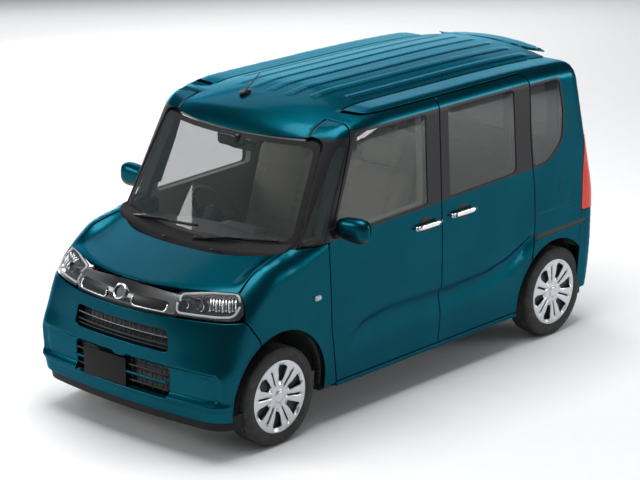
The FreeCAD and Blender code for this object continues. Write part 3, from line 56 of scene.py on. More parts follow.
# Sizes shared by several pieces, in metres
AXLE_FRONT = -1.187
AXLE_REAR = 1.273
AXLE_HEIGHT = 0.278
TRACK_FRONT = 0.650
TRACK_REAR = 0.648
FRONT_ARCH = (-1.187, 0.290, 0.362)
REAR_ARCH = (1.252, 0.268, 0.353)
DITCH_X = 0.480

# Spacing of points along outlines and joined loops, and what counts as one point
OUTLINE_STEP = 0.018
LOOP_STEP = 0.024
SAME_POINT = 0.0015


# Curves


def spline(xs, ys):
    """A smooth curve through points without overshoot, as a function on arrays."""
    xs, ys = np.asarray(xs, float), np.asarray(ys, float)
    step = np.diff(xs)
    slope = np.diff(ys) / step
    tangent = np.zeros_like(ys)
    for i in range(1, len(xs) - 1):
        if slope[i - 1] * slope[i] > 0:
            a, b = 2 * step[i] + step[i - 1], step[i] + 2 * step[i - 1]
            tangent[i] = (a + b) / (a / slope[i - 1] + b / slope[i])
    tangent[0], tangent[-1] = slope[0], slope[-1]

    def value(x):
        x = np.asarray(x, float)
        i = np.clip(np.searchsorted(xs, x) - 1, 0, len(step) - 1)
        t = (x - xs[i]) / step[i]
        inside = np.clip(t, 0, 1)
        h = step[i]
        smooth = (
            ys[i] * (1 + 2 * inside) * (1 - inside) ** 2
            + ys[i + 1] * inside ** 2 * (3 - 2 * inside)
            + h * tangent[i] * inside * (1 - inside) ** 2
            + h * tangent[i + 1] * inside ** 2 * (inside - 1)
        )
        beyond = np.where(t < 0, t * h * tangent[0], np.where(t > 1, (t - 1) * h * tangent[-1], 0))
        return smooth + beyond

    return value


def rounded(points, step=OUTLINE_STEP):
    """A closed outline of corners (u, v[, radius]) as evenly spaced points."""
    count = len(points)
    flat = [np.array(p[:2], float) for p in points]
    out = []
    for i, point in enumerate(points):
        radius = point[2] if len(point) > 2 else 0
        here = flat[i]
        back, ahead = flat[i - 1] - here, flat[(i + 1) % count] - here
        back, ahead = back / np.linalg.norm(back), ahead / np.linalg.norm(ahead)
        half = math.acos(max(-1, min(1, float(back @ ahead)))) / 2
        if radius == 0 or half > math.pi / 2 - 1e-3:
            out.append(here)
            continue
        reach = radius / math.tan(half)
        middle = back + ahead
        centre = here + middle / np.linalg.norm(middle) * radius / math.sin(half)
        start, end = here + back * reach - centre, here + ahead * reach - centre
        turn = math.pi - 2 * half
        sign = 1 if start[0] * end[1] - start[1] * end[0] > 0 else -1
        pieces = max(3, int(turn / math.radians(9)))
        for k in range(pieces + 1):
            a = sign * turn * k / pieces
            c, s = math.cos(a), math.sin(a)
            out.append(centre + np.array([c * start[0] - s * start[1], s * start[0] + c * start[1]]))
    return dense(np.array(out), step)


def dense(points, step=OUTLINE_STEP, closed=True):
    """Adds points along a line so that none are further apart than a step."""
    out = []
    last = len(points) if closed else len(points) - 1
    for i in range(last):
        a, b = points[i], points[(i + 1) % len(points)]
        n = max(1, int(math.ceil(np.linalg.norm(b - a) / step)))
        out.extend(a + (b - a) * k / n for k in range(n))
    if not closed:
        out.append(points[-1])
    out = np.array(out)
    keep = np.linalg.norm(out - np.roll(out, 1, 0), axis=1) > 1e-5
    return out[keep] if closed else out


def circle(u, v, radius, count=48):
    a = np.arange(count) * 2 * math.pi / count
    return np.stack([u + radius * np.cos(a), v + radius * np.sin(a)], 1)


def inside(points, loop):
    """Which points lie inside a closed outline."""
    x, y = points[:, 0][:, None], points[:, 1][:, None]
    x0, y0 = loop[:, 0][None], loop[:, 1][None]
    x1, y1 = np.roll(loop, -1, 0)[:, 0][None], np.roll(loop, -1, 0)[:, 1][None]
    crosses = (y0 > y) != (y1 > y)
    at = x0 + (y - y0) * (x1 - x0) / np.where(np.abs(y1 - y0) < 1e-12, 1e-12, y1 - y0)
    return (crosses & (x < at)).sum(1) % 2 == 1


# The body's outer shape: each form is negative inside, in metres


def smooth_max(a, b, k):
    h = np.maximum(k - np.abs(a - b), 0) / k
    return np.maximum(a, b) + h * h * k / 4


def smooth_step(low, high, x):
    t = np.clip((x - low) / (high - low), 0, 1)
    return t * t * (3 - 2 * t)


side_width = spline(
    [0.10, 0.206, 0.33, 0.45, 0.56, 0.70, 0.86, 1.00, 1.101, 1.37, 1.613, 1.76],
    [0.703, 0.7125, 0.7225, 0.7315, 0.7365, 0.7380, 0.7365, 0.7310, 0.7260, 0.7130, 0.7010, 0.6935],
)
roof_rise = spline(
    [
        -0.90, -0.775, -0.731, -0.66, -0.60, -0.50, -0.40, -0.30, -0.22, 0.10, 0.50, 0.90, 1.20, 1.45,
        1.62,
    ],
    [
        1.590, 1.6395, 1.6572, 1.6830, 1.7020, 1.7265, 1.7433, 1.7527, 1.7545, 1.7550, 1.7550, 1.7520,
        1.7440, 1.7320, 1.7215,
    ],
)
tail_depth = spline(
    [0.10, 0.20, 0.30, 0.45, 0.573, 0.70, 0.82, 0.90, 1.00, 1.20, 1.55, 1.75],
    [1.632, 1.664, 1.684, 1.6950, 1.6975, 1.6970, 1.6950, 1.6860, 1.6660, 1.6240, 1.5505, 1.5085],
)
NOSE_HEIGHTS = [0.12, 0.22, 0.30, 0.45, 0.60, 0.785, 0.84, 0.90, 1.00, 1.10]
nose_depth = spline(
    NOSE_HEIGHTS, [1.655, 1.679, 1.690, 1.6975, 1.6970, 1.6870, 1.6700, 1.6250, 1.4800, 1.3300],
)
nose_corner = spline(
    NOSE_HEIGHTS, [1.590, 1.615, 1.628, 1.634, 1.575, 1.484, 1.4350, 1.3680, 1.2500, 1.1300],
)
fender_crest = spline(
    [-1.60, -1.433, -1.34, -1.25, -1.15, -1.043, -0.90], [0.0, 0.0, 0.030, 0.052, 0.046, 0.032, 0.030],
)


def swoosh(y, z):
    """The scooped line that sweeps up the doors: an undercut over a ledge that faces up."""
    top = np.interp(y, SWOOSH_Y, SWOOSH_TOP)
    low = np.interp(y, SWOOSH_Y, SWOOSH_LOW)
    fade = smooth_step(-0.68, -0.42, y) * smooth_step(1.10, 0.95, y)
    t = (z - low) / np.maximum(top - low, 0.01)
    return -0.024 * smooth_step(0.0, 0.72, t) * smooth_step(1.06, 0.74, t) * fade


SWOOSH_Y = [-0.66, -0.615, -0.50, -0.30, 0.00, 0.30, 0.60, 0.80, 0.95, 1.06]
SWOOSH_TOP = [0.45, 0.500, 0.560, 0.585, 0.580, 0.572, 0.585, 0.625, 0.680, 0.730]
SWOOSH_LOW = [0.36, 0.372, 0.385, 0.392, 0.396, 0.400, 0.412, 0.450, 0.540, 0.620]


def arch_flare(y, z):
    """The raised lip round each wheel arch."""
    out = 0
    for cy, cz, radius in (FRONT_ARCH, REAR_ARCH):
        r = np.hypot(y - cy, z - cz) - radius
        out = out + 0.007 * np.exp(-np.maximum(r, 0) / 0.035) * (r > -0.1)
    return out


def side_form(x, y, z):
    return np.abs(x) - (side_width(z) + swoosh(y, z) + arch_flare(y, z))


def roof_form(x, y, z):
    across = np.minimum(np.abs(x), DITCH_X)
    crown = 2.241 - np.sqrt(2.241 ** 2 - across ** 2)
    fall = 0.25 * np.maximum(np.abs(x) - 0.60, 0) ** 2 / 0.1
    return z - (roof_rise(y) - crown - fall)


def screen_form(x, y, z):
    x = np.abs(x)
    base = -1.141 + 0.275 * x ** 2 + 3.0 * np.maximum(x - 0.60, 0) ** 2
    return (base + 0.60 * (z - 1.0) - y) / 1.166


def tail_form(x, y, z):
    return y - (tail_depth(z) - 0.026 * (np.abs(x) / 0.72) ** 2.5)


def nose_form(x, y, z):
    front = nose_depth(z)
    return -y - (front - (front - nose_corner(z)) * (np.abs(x) / 0.7375) ** 2.1)


def bonnet_form(x, y, z):
    x = np.abs(x)
    line = 0.895 + 0.304 * (y + 1.600)
    crest = fender_crest(y) * smooth_step(0.545, 0.68, x)
    return (z - (line - x ** 2 / 11.6 + crest)) / 1.045


def cabin(x, y, z):
    """Everything behind the front wheels."""
    top = smooth_max(roof_form(x, y, z), screen_form(x, y, z), 0.05)
    shape = smooth_max(side_form(x, y, z), top, 0.075)
    return smooth_max(shape, tail_form(x, y, z), 0.10)


def front(x, y, z):
    """Everything ahead of the doors."""
    top = smooth_max(bonnet_form(x, y, z), nose_form(x, y, z), 0.05)
    return smooth_max(side_form(x, y, z), top, 0.12)


def roof_only(x, y, z):
    return smooth_max(roof_form(x, y, z), screen_form(x, y, z), 0.05)


def screen_only(x, y, z):
    return screen_form(x, y, z)


def land(form, origin, direction, far=2.5):
    """Where rays from inside the body leave a form."""
    low, high = np.zeros(len(origin)), np.full(len(origin), far)
    for _ in range(34):
        middle = (low + high) / 2
        at = origin + direction * middle[:, None]
        out = form(at[:, 0], at[:, 1], at[:, 2]) > 0
        high = np.where(out, middle, high)
        low = np.where(out, low, middle)
    return origin + direction * low[:, None]


def normals(form, points, h=4e-4):
    grad = []
    for axis in range(3):
        d = np.zeros(3)
        d[axis] = h
        a, b = points + d, points - d
        grad.append(form(a[:, 0], a[:, 1], a[:, 2]) - form(b[:, 0], b[:, 1], b[:, 2]))
    grad = np.stack(grad, 1)
    return grad / (np.linalg.norm(grad, axis=1)[:, None] + 1e-12)


# Charts: how a flat outline is laid on the body


class Post:
    """Rays from an upright line; the chart is (angle, z)."""

    def __init__(self, y, forward, scale=0.75):
        self.y, self.sign, self.scale = y, -1 if forward else 1, scale

    def flat(self, p):
        return np.stack([np.arctan2(p[:, 0], self.sign * (p[:, 1] - self.y)) * self.scale, p[:, 2]], 1)

    def ray(self, q):
        a = q[:, 0] / self.scale
        origin = np.stack([np.zeros(len(q)), np.full(len(q), self.y), q[:, 1]], 1)
        return origin, np.stack([np.sin(a), self.sign * np.cos(a), np.zeros(len(q))], 1)


class Plan:
    """Rays straight up; the chart is (x, y)."""

    def flat(self, p):
        return p[:, :2].copy()

    def ray(self, q):
        origin = np.stack([q[:, 0], q[:, 1], np.full(len(q), 0.35)], 1)
        return origin, np.tile([0.0, 0.0, 1.0], (len(q), 1))


class Along:
    """Rays along Y, forwards or back; the chart is (x, z)."""

    def __init__(self, forward, y=0.0):
        self.sign, self.y = -1 if forward else 1, y

    def flat(self, p):
        return p[:, [0, 2]].copy()

    def ray(self, q):
        origin = np.stack([q[:, 0], np.full(len(q), self.y), q[:, 1]], 1)
        return origin, np.tile([0.0, float(self.sign), 0.0], (len(q), 1))


class Across:
    """Rays along X to the left side; the chart is (y, z)."""

    def flat(self, p):
        return p[:, 1:].copy()

    def ray(self, q):
        origin = np.stack([np.full(len(q), 0.2), q[:, 0], q[:, 1]], 1)
        return origin, np.tile([1.0, 0.0, 0.0], (len(q), 1))


SIDE, TOP, FRONT, BACK = Across(), Plan(), Along(True, -0.7), Along(False, 0.7)
NOSE, TAIL = Post(-0.90, True), Post(0.90, False)


def on_body(form, chart, flat):
    """Points of a flat outline, laid on a form along a chart's rays."""
    origin, direction = chart.ray(np.asarray(flat, float))
    return land(form, origin, direction)


# Building meshes


def make(name, verts, faces, slots, marks=None, vertex_normals=None, smooth=True):
    """A mesh object at the origin; marks give each face's material number."""
    mesh = bpy.data.meshes.new(name)
    mesh.from_pydata([tuple(v) for v in verts], [], [tuple(f) for f in faces])
    for slot in slots:
        mesh.materials.append(material(slot))
    if marks is not None:
        mesh.polygons.foreach_set("material_index", np.asarray(marks, dtype=np.int32))
    mesh.polygons.foreach_set("use_smooth", [smooth] * len(mesh.polygons))
    mesh.update()
    if vertex_normals is not None:
        mesh.normals_split_custom_set_from_vertices([tuple(n) for n in vertex_normals])
    obj = bpy.data.objects.new(name, mesh)
    bpy.context.scene.collection.objects.link(obj)
    return obj


def join(name, objects):
    """Joins objects, with their materials, into the first one's place."""
    bpy.ops.object.select_all(action="DESELECT")
    for obj in objects:
        obj.select_set(True)
    bpy.context.view_layer.objects.active = objects[0]
    bpy.ops.object.join()
    objects[0].name = objects[0].data.name = name
    return objects[0]


def mirror(obj, name):
    """The same piece on the car's other side."""
    mesh = obj.data.copy()
    other = bpy.data.objects.new(name, mesh)
    custom = np.zeros(len(mesh.loops) * 3)
    mesh.corner_normals.foreach_get("vector", custom)
    custom = custom.reshape(-1, 3) * [-1, 1, 1]
    mesh.transform(Matrix.Scale(-1, 4, (1, 0, 0)))
    order = []
    for face in mesh.polygons:
        loops = list(face.loop_indices)
        order.extend([loops[0]] + loops[:0:-1])
    mesh.flip_normals()
    mesh.normals_split_custom_set([tuple(custom[i]) for i in order])
    bpy.context.scene.collection.objects.link(other)
    return other


def edge_frame(loop, form, turn):
    """Each outline point's outward normal and its direction into the panel."""
    out = normals(form, loop)
    tangent = np.roll(loop, -1, 0) - np.roll(loop, 1, 0)
    tangent /= np.linalg.norm(tangent, axis=1)[:, None] + 1e-12
    return out, np.cross(out, tangent) * turn


def winding(flat):
    ahead = np.roll(flat, -1, 0)
    return 1 if np.sum(flat[:, 0] * ahead[:, 1] - ahead[:, 0] * flat[:, 1]) > 0 else -1


def panel(name, form, chart, loops, slots, zones=(), step=0.024, edge=0.0035, depth=0.024):
    """A sheet laid on a form: smooth outside, rolled edges and a turned-in rim.

    loops holds the outline and then its holes, as points on the body.
    zones holds (outline, number of the material) for areas of other materials.
    """
    inner_loops, rims = [], []
    for number, loop in enumerate(loops):
        flat = chart.flat(loop)
        turn = winding(flat) * (1 if number == 0 else -1)
        out_n, into = edge_frame(loop, form, turn)
        origin, direction = chart.ray(chart.flat(loop + into * edge))
        line = land(form, origin, direction)
        rims.append((loop, out_n, into, turn))
        inner_loops.append(line)
    flats = [chart.flat(line) for line in inner_loops]
    box_low, box_high = flats[0].min(0), flats[0].max(0)
    us = np.arange(box_low[0] + step / 2, box_high[0], step)
    vs = np.arange(box_low[1] + step / 2, box_high[1], step)
    grid = np.stack(np.meshgrid(us, vs), -1).reshape(-1, 2)
    grid[:, 0] += np.where(((grid[:, 1] - box_low[1]) / step).astype(int) % 2 == 1, step / 2, 0)
    keep = inside(grid, flats[0])
    for hole in flats[1:]:
        keep &= ~inside(grid, hole)
    grid = grid[keep]
    lines = list(flats) + [chart.flat(zone) for zone, _ in zones]
    for line in lines:
        if len(grid):
            gap = np.min(np.linalg.norm(grid[:, None] - line[None], axis=2), axis=1)
            grid = grid[gap > step * 0.45]
    points, edges = [], []
    for line in lines:
        start, count = len(points), len(line)
        points.extend(map(tuple, line))
        edges.extend((start + i, start + (i + 1) % count) for i in range(count))
    points.extend(map(tuple, grid))
    result = delaunay_2d_cdt([Vector(p) for p in points], edges, [], 0, 1e-6)
    flat = np.array([tuple(v) for v in result[0]])
    origin, direction = chart.ray(flat)
    on = land(form, origin, direction)
    out_on = normals(form, on)
    triangles = np.array(result[2], dtype=int)
    centre = flat[triangles].mean(1)
    keep = inside(centre, flats[0])
    for hole in flats[1:]:
        keep &= ~inside(centre, hole)
    triangles, centre = triangles[keep], centre[keep]
    kind = np.zeros(len(triangles), dtype=int)
    for zone, number in zones:
        kind[inside(centre, chart.flat(zone))] = number
    a, b, c = on[triangles[:, 0]], on[triangles[:, 1]], on[triangles[:, 2]]
    facing = np.einsum("ij,ij->i", np.cross(b - a, c - a), out_on[triangles[:, 0]])
    triangles[facing < 0] = triangles[facing < 0][:, ::-1]
    verts = list(on)
    out = list(out_on)
    faces = [tuple(t) for t in triangles]
    marks = list(kind)
    lookup = {}
    for i, sources in enumerate(result[3]):
        for s in sources:
            lookup[s] = i
    start = 0
    for (loop, out_n, into, turn), line in zip(rims, inner_loops):
        count = len(loop)
        near = [lookup[start + i] for i in range(count)]
        zone_of = np.zeros(count, dtype=int)
        for zone, number in zones:
            zone_of[inside(chart.flat(line + into * 0.002), chart.flat(zone))] = number
        base = len(verts)
        rings = [
            (into * edge * 0.3 - out_n * edge * 0.3, out_n * 0.7 - into * 0.7),
            (-out_n * edge, out_n * 0.05 - into),
            (-out_n * edge, -into),
            (into * 0.001 - out_n * depth, -into),
        ]
        for move, normal in rings:
            verts.extend(loop + move)
            out.extend(normal / np.linalg.norm(normal, axis=1)[:, None])
        flip_rim = turn > 0
        for i in range(count):
            j = (i + 1) % count
            quads = [(near[i], near[j], base + j, base + i)]
            for ring in (0, 2):
                r = base + ring * count
                quads.append((r + i, r + j, r + count + j, r + count + i))
            for quad in quads:
                faces.append(quad[::-1] if flip_rim else quad)
                marks.append(zone_of[i])
        start += count
    return make(name, verts, faces, slots, marks, out)


def pushed_copy(name, nodes, form, slots, deep=0.020):
    """The frame's own solids with their outer faces drawn in behind the panels."""
    pieces = []
    for node in nodes:
        source = frame["nodes"][node]
        mesh = source.data.copy()
        mesh.transform(source.matrix_world)
        bm = bmesh.new()
        bm.from_mesh(mesh)
        bmesh.ops.remove_doubles(bm, verts=bm.verts, dist=1e-5)
        bm.to_mesh(mesh)
        bm.free()
        points = np.zeros(len(mesh.vertices) * 3)
        mesh.vertices.foreach_get("co", points)
        points = points.reshape(-1, 3)
        for _ in range(4):
            value = form(points[:, 0], points[:, 1], points[:, 2])
            near = value > -deep
            if not near.any():
                break
            move = normals(form, points[near]) * (value[near] + deep)[:, None]
            points[near] -= move
        mesh.vertices.foreach_set("co", points.ravel())
        mesh.materials.clear()
        for slot in slots:
            mesh.materials.append(material(slot))
        mesh.polygons.foreach_set("material_index", [0] * len(mesh.polygons))
        mesh.update()
        mesh.set_sharp_from_angle(angle=math.radians(32))
        obj = bpy.data.objects.new(name, mesh)
        bpy.context.scene.collection.objects.link(obj)
        pieces.append(obj)
    return join(name, pieces) if len(pieces) > 1 else pieces[0]


# Shader maths


def number_node(operation, swapped=False):
    """A method of Value that adds one Math node."""

    def method(self, other=None):
        node = self.tree.nodes.new("ShaderNodeMath")
        node.operation = operation
        for place, item in enumerate((other, self) if swapped else (self, other)):
            if isinstance(item, Value):
                self.tree.links.new(item.socket, node.inputs[place])
            elif item is not None:
                node.inputs[place].default_value = item
        return Value(self.tree, node.outputs[0])

    return method


class Value:
    """A number in a shader tree; sums and products of it add Math nodes."""

    def __init__(self, tree, socket):
        self.tree, self.socket = tree, socket

    def smooth(self, low, high):
        """Nought below low, one above high."""
        node = self.tree.nodes.new("ShaderNodeMapRange")
        node.interpolation_type = "SMOOTHSTEP"
        self.tree.links.new(self.socket, node.inputs["Value"])
        node.inputs["From Min"].default_value = low
        node.inputs["From Max"].default_value = high
        return Value(self.tree, node.outputs["Result"])

    __add__ = number_node("ADD")
    __radd__ = number_node("ADD", True)
    __sub__ = number_node("SUBTRACT")
    __rsub__ = number_node("SUBTRACT", True)
    __mul__ = number_node("MULTIPLY")
    __rmul__ = number_node("MULTIPLY", True)
    power = number_node("POWER")
    wave = number_node("SINE")
    size = number_node("ABSOLUTE")


class Shader:
    """A material's tree with one method for nodes and one for the surface."""

    def __init__(self, name):
        self.material = bpy.data.materials.new(name)
        self.material.use_nodes = True
        self.tree = self.material.node_tree
        self.tree.nodes.clear()

    def node(self, kind, settings=None, **sockets):
        made = self.tree.nodes.new(kind)
        for key, item in (settings or {}).items():
            setattr(made, key, item)
        for key, item in sockets.items():
            self.put(made.inputs[key.replace("_", " ")], item)
        return made

    def put(self, socket, item):
        if isinstance(item, Value):
            self.tree.links.new(item.socket, socket)
        elif isinstance(item, bpy.types.NodeSocket):
            self.tree.links.new(item, socket)
        else:
            socket.default_value = item

    def value(self, socket):
        return Value(self.tree, socket)

    def place(self):
        """The object's own coordinates."""
        return self.node("ShaderNodeTexCoord").outputs["Object"]

    def numbers(self, vector):
        """The three numbers of a vector."""
        split = self.node("ShaderNodeSeparateXYZ", Vector=vector)
        return [self.value(split.outputs[i]) for i in range(3)]

    def noise(self, vector, scale, detail=2.0, roughness=0.5):
        made = self.node(
            "ShaderNodeTexNoise", Vector=vector, Scale=scale, Detail=detail, Roughness=roughness,
        )
        return self.value(made.outputs["Fac"])

    def mix(self, amount, first, second):
        made = self.node("ShaderNodeMix", {"data_type": "RGBA"})
        self.put(made.inputs[0], amount)
        self.put(made.inputs[6], first)
        self.put(made.inputs[7], second)
        return made.outputs[2]

    def bump(self, height, strength, distance=0.001):
        return self.node(
            "ShaderNodeBump", Height=height, Strength=strength, Distance=distance,
        ).outputs["Normal"]

    def surface(self, **sockets):
        made = self.node("ShaderNodeBsdfPrincipled", **sockets)
        self.node("ShaderNodeOutputMaterial", Surface=made.outputs[0])
        return self.material


def rgb(r, g, b):
    return (r, g, b, 1.0)


# Fine patterns, in waves or cells per metre: paint flakes, cloth threads and lamp prisms
FLAKES = 1400.0
THREADS = 2400.0
PRISMS = 520.0


def paint_material(name):
    """Metallic paint with fine flakes under a clear coat."""
    s = Shader(name)
    chosen = settings().paint
    colour, deep = rgb(*chosen.colour), rgb(*chosen.deep)
    vector = s.place()
    flakes = s.node("ShaderNodeTexVoronoi", Vector=vector, Scale=FLAKES).outputs["Color"]
    flake = s.value(s.node("ShaderNodeSeparateColor", Color=flakes).outputs[0])
    drift = s.noise(vector, 3.0, 1.0)
    return s.surface(
        Base_Color=s.mix(flake * 0.55 + drift * 0.25, deep, colour), Metallic=1.0,
        Roughness=0.25 + flake * 0.16,
        Specular_Tint=rgb(0.10, 0.62, 0.80), Coat_Weight=chosen.coat, Coat_Roughness=0.10, Coat_IOR=1.5,
        Normal=s.bump(s.noise(vector, 420.0, 1.0), 0.04, 0.0004),
    )


def plastic_material(
    name, colour, rough=0.45, grain=0.15, scale=700.0, metallic=0.0, coat=0.0, shine=0.5,
):
    """Moulded plastic or painted metal with a fine grain."""
    s = Shader(name)
    vector = s.place()
    tone = s.noise(vector, 9.0, 3.0)
    shade = s.mix(tone * 0.5, colour, rgb(*[min(1.0, c * 1.25 + 0.004) for c in colour[:3]]))
    height = s.noise(vector, scale, 2.0)
    return s.surface(
        Base_Color=shade, Roughness=rough - 0.06 + tone * 0.12, Metallic=metallic,
        Specular_IOR_Level=shine, Coat_Weight=coat, Coat_Roughness=0.05,
        Normal=s.bump(height, grain, 0.0006),
    )


def glass_material(name, colour, alpha, edge=0.9, gloss=1.0):
    """Tinted glass, seen through more at right angles than at a slant."""
    s = Shader(name)
    vector = s.place()
    facing = s.value(s.node("ShaderNodeLayerWeight", Blend=0.35).outputs["Facing"])
    tone = s.noise(vector, 2.0, 1.0)
    shade = s.mix(tone * 0.3, colour, rgb(*[c * 0.8 for c in colour[:3]]))
    return s.surface(
        Base_Color=shade, Roughness=0.03, Alpha=alpha + (edge - alpha) * facing.power(2.5),
        Coat_Weight=gloss, Coat_Roughness=0.01, Specular_IOR_Level=0.8 * gloss,
    )


def lamp_material(name, colour, alpha=1.0, ribs=0.0, emission=0.0):
    """Clear or coloured lamp plastic with fine upright prisms."""
    s = Shader(name)
    vector = s.place()
    z = s.numbers(vector)[2]
    fade = s.noise(vector, 14.0, 2.0)
    shade = s.mix(fade * 0.4, colour, rgb(*[c * 0.6 for c in colour[:3]]))
    normal = s.bump((z * PRISMS).wave(), ribs, 0.0006)
    return s.surface(
        Base_Color=shade, Roughness=0.16, Alpha=alpha, Specular_IOR_Level=0.3, Coat_Weight=0.25,
        Coat_Roughness=0.02, Normal=normal,
        Emission_Color=colour, Emission_Strength=emission,
    )


def chrome_material(name, colour, rough=0.12):
    s = Shader(name)
    vector = s.place()
    smear = s.noise(vector, 60.0, 3.0)
    return s.surface(
        Base_Color=colour, Metallic=1.0, Roughness=rough + smear * 0.05,
        Normal=s.bump(s.noise(vector, 900.0), 0.03, 0.0004),
    )


def fabric_material(name, colour, other):
    """Woven cloth: crossed threads over a soft mottle."""
    s = Shader(name)
    vector = s.place()
    x, y, z = s.numbers(vector)
    threads = ((x + y * 0.35) * THREADS).wave() * ((z + y * 0.9) * THREADS).wave()
    mottle = s.noise(vector, 38.0, 4.0)
    shade = s.mix(mottle * 0.7 + threads * 0.12, colour, other)
    return s.surface(
        Base_Color=shade, Roughness=0.92, Sheen_Weight=0.25,
        Normal=s.bump(threads * 0.5 + mottle, 0.35, 0.0008)
    )


def rubber_material(name):
    s = Shader(name)
    vector = s.place()
    dust = s.noise(vector, 26.0, 4.0)
    shade = s.mix(dust.smooth(0.35, 0.85), rgb(0.018, 0.018, 0.019), rgb(0.048, 0.047, 0.045))
    return s.surface(
        Base_Color=shade, Roughness=0.78 + dust * 0.12,
        Normal=s.bump(s.noise(vector, 520.0, 3.0), 0.2, 0.0006),
    )


def steel_material(name, colour, rough=0.5, rust=0.0):
    """Chassis metal: dull, with a little staining."""
    s = Shader(name)
    vector = s.place()
    stain = s.noise(vector, 17.0, 5.0, 0.65)
    shade = s.mix(stain.smooth(0.5, 0.8) * rust, colour, rgb(0.11, 0.055, 0.03))
    return s.surface(
        Base_Color=shade, Roughness=rough + stain * 0.25, Metallic=0.6,
        Normal=s.bump(s.noise(vector, 240.0, 4.0), 0.25, 0.0008),
    )


def gradient_material(name):
    """The grille band: gunmetal that fades to black towards its middle."""
    s = Shader(name)
    vector = s.place()
    x = s.numbers(vector)[0]
    fade = x.size().smooth(0.02, 0.36)
    shade = s.mix(fade, rgb(0.030, 0.031, 0.033), rgb(0.26, 0.27, 0.28))
    return s.surface(
        Base_Color=shade, Metallic=0.8, Roughness=0.28 - fade * 0.08, Coat_Weight=1.0,
        Coat_Roughness=0.04, Normal=s.bump(s.noise(vector, 800.0), 0.03, 0.0004),
    )


MATERIALS = {
    "paint": paint_material,
    "black": lambda n: plastic_material(n, rgb(0.010, 0.010, 0.011), 0.32, 0.04, shine=0.3),
    "pillar": lambda n: plastic_material(n, rgb(0.014, 0.014, 0.016), 0.42, 0.03, shine=0.25),
    "trim": lambda n: plastic_material(n, rgb(0.008, 0.008, 0.009), 0.58, 0.35, 420.0, shine=0.16),
    "ditch": lambda n: plastic_material(n, rgb(0.016, 0.017, 0.018), 0.55, 0.1),
    "grille": gradient_material,
    "silver": lambda n: chrome_material(n, rgb(0.82, 0.83, 0.84), 0.20),
    "mirror_glass": lambda n: chrome_material(n, rgb(0.75, 0.78, 0.80), 0.02),
    "reflector": lambda n: chrome_material(n, rgb(0.66, 0.68, 0.70), 0.12),
    "slat": lambda n: chrome_material(n, rgb(0.16, 0.165, 0.17), 0.30),
    "lamp_dark": lambda n: plastic_material(n, rgb(0.05, 0.055, 0.062), 0.25, 0.03, metallic=0.6),
    "clear": lambda n: glass_material(n, rgb(0.30, 0.33, 0.35), 0.10, 0.50),
    "red": lambda n: lamp_material(n, rgb(0.78, 0.030, 0.010), 1.0, 0.4),
    "red_clear": lambda n: lamp_material(n, rgb(0.55, 0.30, 0.30), 1.0, 0.5),
    "glow": lambda n: lamp_material(n, rgb(0.58, 0.60, 0.62), 1.0, 0.2),
    "glass": lambda n: glass_material(n, rgb(0.055, 0.075, 0.070), settings().glass.front, 0.92),
    "screen_glass": lambda n: glass_material(n, rgb(0.050, 0.070, 0.068), 0.34, 0.92),
    "privacy": lambda n: glass_material(n, rgb(0.008, 0.009, 0.011), settings().glass.rear, 0.97, 0.55),
    "wheel": lambda n: plastic_material(
        n, rgb(0.52, 0.54, 0.56), 0.30, 0.03, 900.0, metallic=0.85, coat=0.6,
    ),
    "wheel_dark": lambda n: plastic_material(
        n, rgb(0.020, 0.021, 0.023), 0.5, 0.1, 500.0, metallic=0.3,
    ),
    "tyre": rubber_material,
    "plate": lambda n: plastic_material(n, rgb(0.80, 0.80, 0.79), 0.4, 0.05, 300.0),
    "beige": lambda n: fabric_material(n, rgb(0.50, 0.46, 0.39), rgb(0.38, 0.35, 0.29)),
    "seat_side": lambda n: fabric_material(n, rgb(0.30, 0.27, 0.23), rgb(0.22, 0.20, 0.17)),
    "dash": lambda n: plastic_material(n, rgb(0.045, 0.044, 0.043), 0.65, 0.4, 260.0),
    "dash_light": lambda n: plastic_material(n, rgb(0.36, 0.34, 0.30), 0.65, 0.4, 260.0),
    "headliner": lambda n: fabric_material(n, rgb(0.60, 0.58, 0.54), rgb(0.50, 0.48, 0.44)),
    "underbody": lambda n: steel_material(n, rgb(0.030, 0.033, 0.036), 0.6, 0.2),
    "steel": lambda n: steel_material(n, rgb(0.035, 0.035, 0.037), 0.45, 0.5),
    "exhaust": lambda n: steel_material(n, rgb(0.26, 0.25, 0.23), 0.4, 0.7),
    "engine": lambda n: steel_material(n, rgb(0.30, 0.30, 0.30), 0.5, 0.15),
    "backdrop": lambda n: plastic_material(n, rgb(0.92, 0.925, 0.93), 0.9, 0.0, 10.0, shine=0.1),
}


def material(name):
    """The named finish, made on first use."""
    key = "finish_" + name
    return bpy.data.materials.get(key) or MATERIALS[name](key)


# Outlines of the panels on the body


def lay(form, chart, points, closed=True):
    """An outline or an open line of a chart, laid on the body."""
    flat = rounded(points) if closed else dense(open_rounded(points), OUTLINE_STEP, False)
    return on_body(form, chart, flat)


def open_rounded(points):
    """Rounds the inner corners of an open line."""
    first, last = np.array(points[0][:2], float), np.array(points[-1][:2], float)
    away = (first + last) / 2 + np.array([7.0, 9.0])
    loop = rounded(
        list(points) + [tuple(last * 0.5 + away * 0.5), tuple(first * 0.5 + away * 0.5)], 10.0,
    )
    start = int(np.argmin(np.linalg.norm(loop - first, axis=1)))
    loop = np.roll(loop, -start, 0)
    end = int(np.argmin(np.linalg.norm(loop - last, axis=1)))
    return loop[: end + 1]


def arc(centre_y, centre_z, radius, start, end, count=26):
    a = np.radians(np.linspace(start, end, count))
    return [(centre_y + radius * math.cos(t), centre_z + radius * math.sin(t)) for t in a]


def link(form, chart, first, last):
    """A line over the body between two points of it, straight in a chart."""
    flat = chart.flat(np.array([first, last]))
    return on_body(form, chart, dense(flat, OUTLINE_STEP, False))


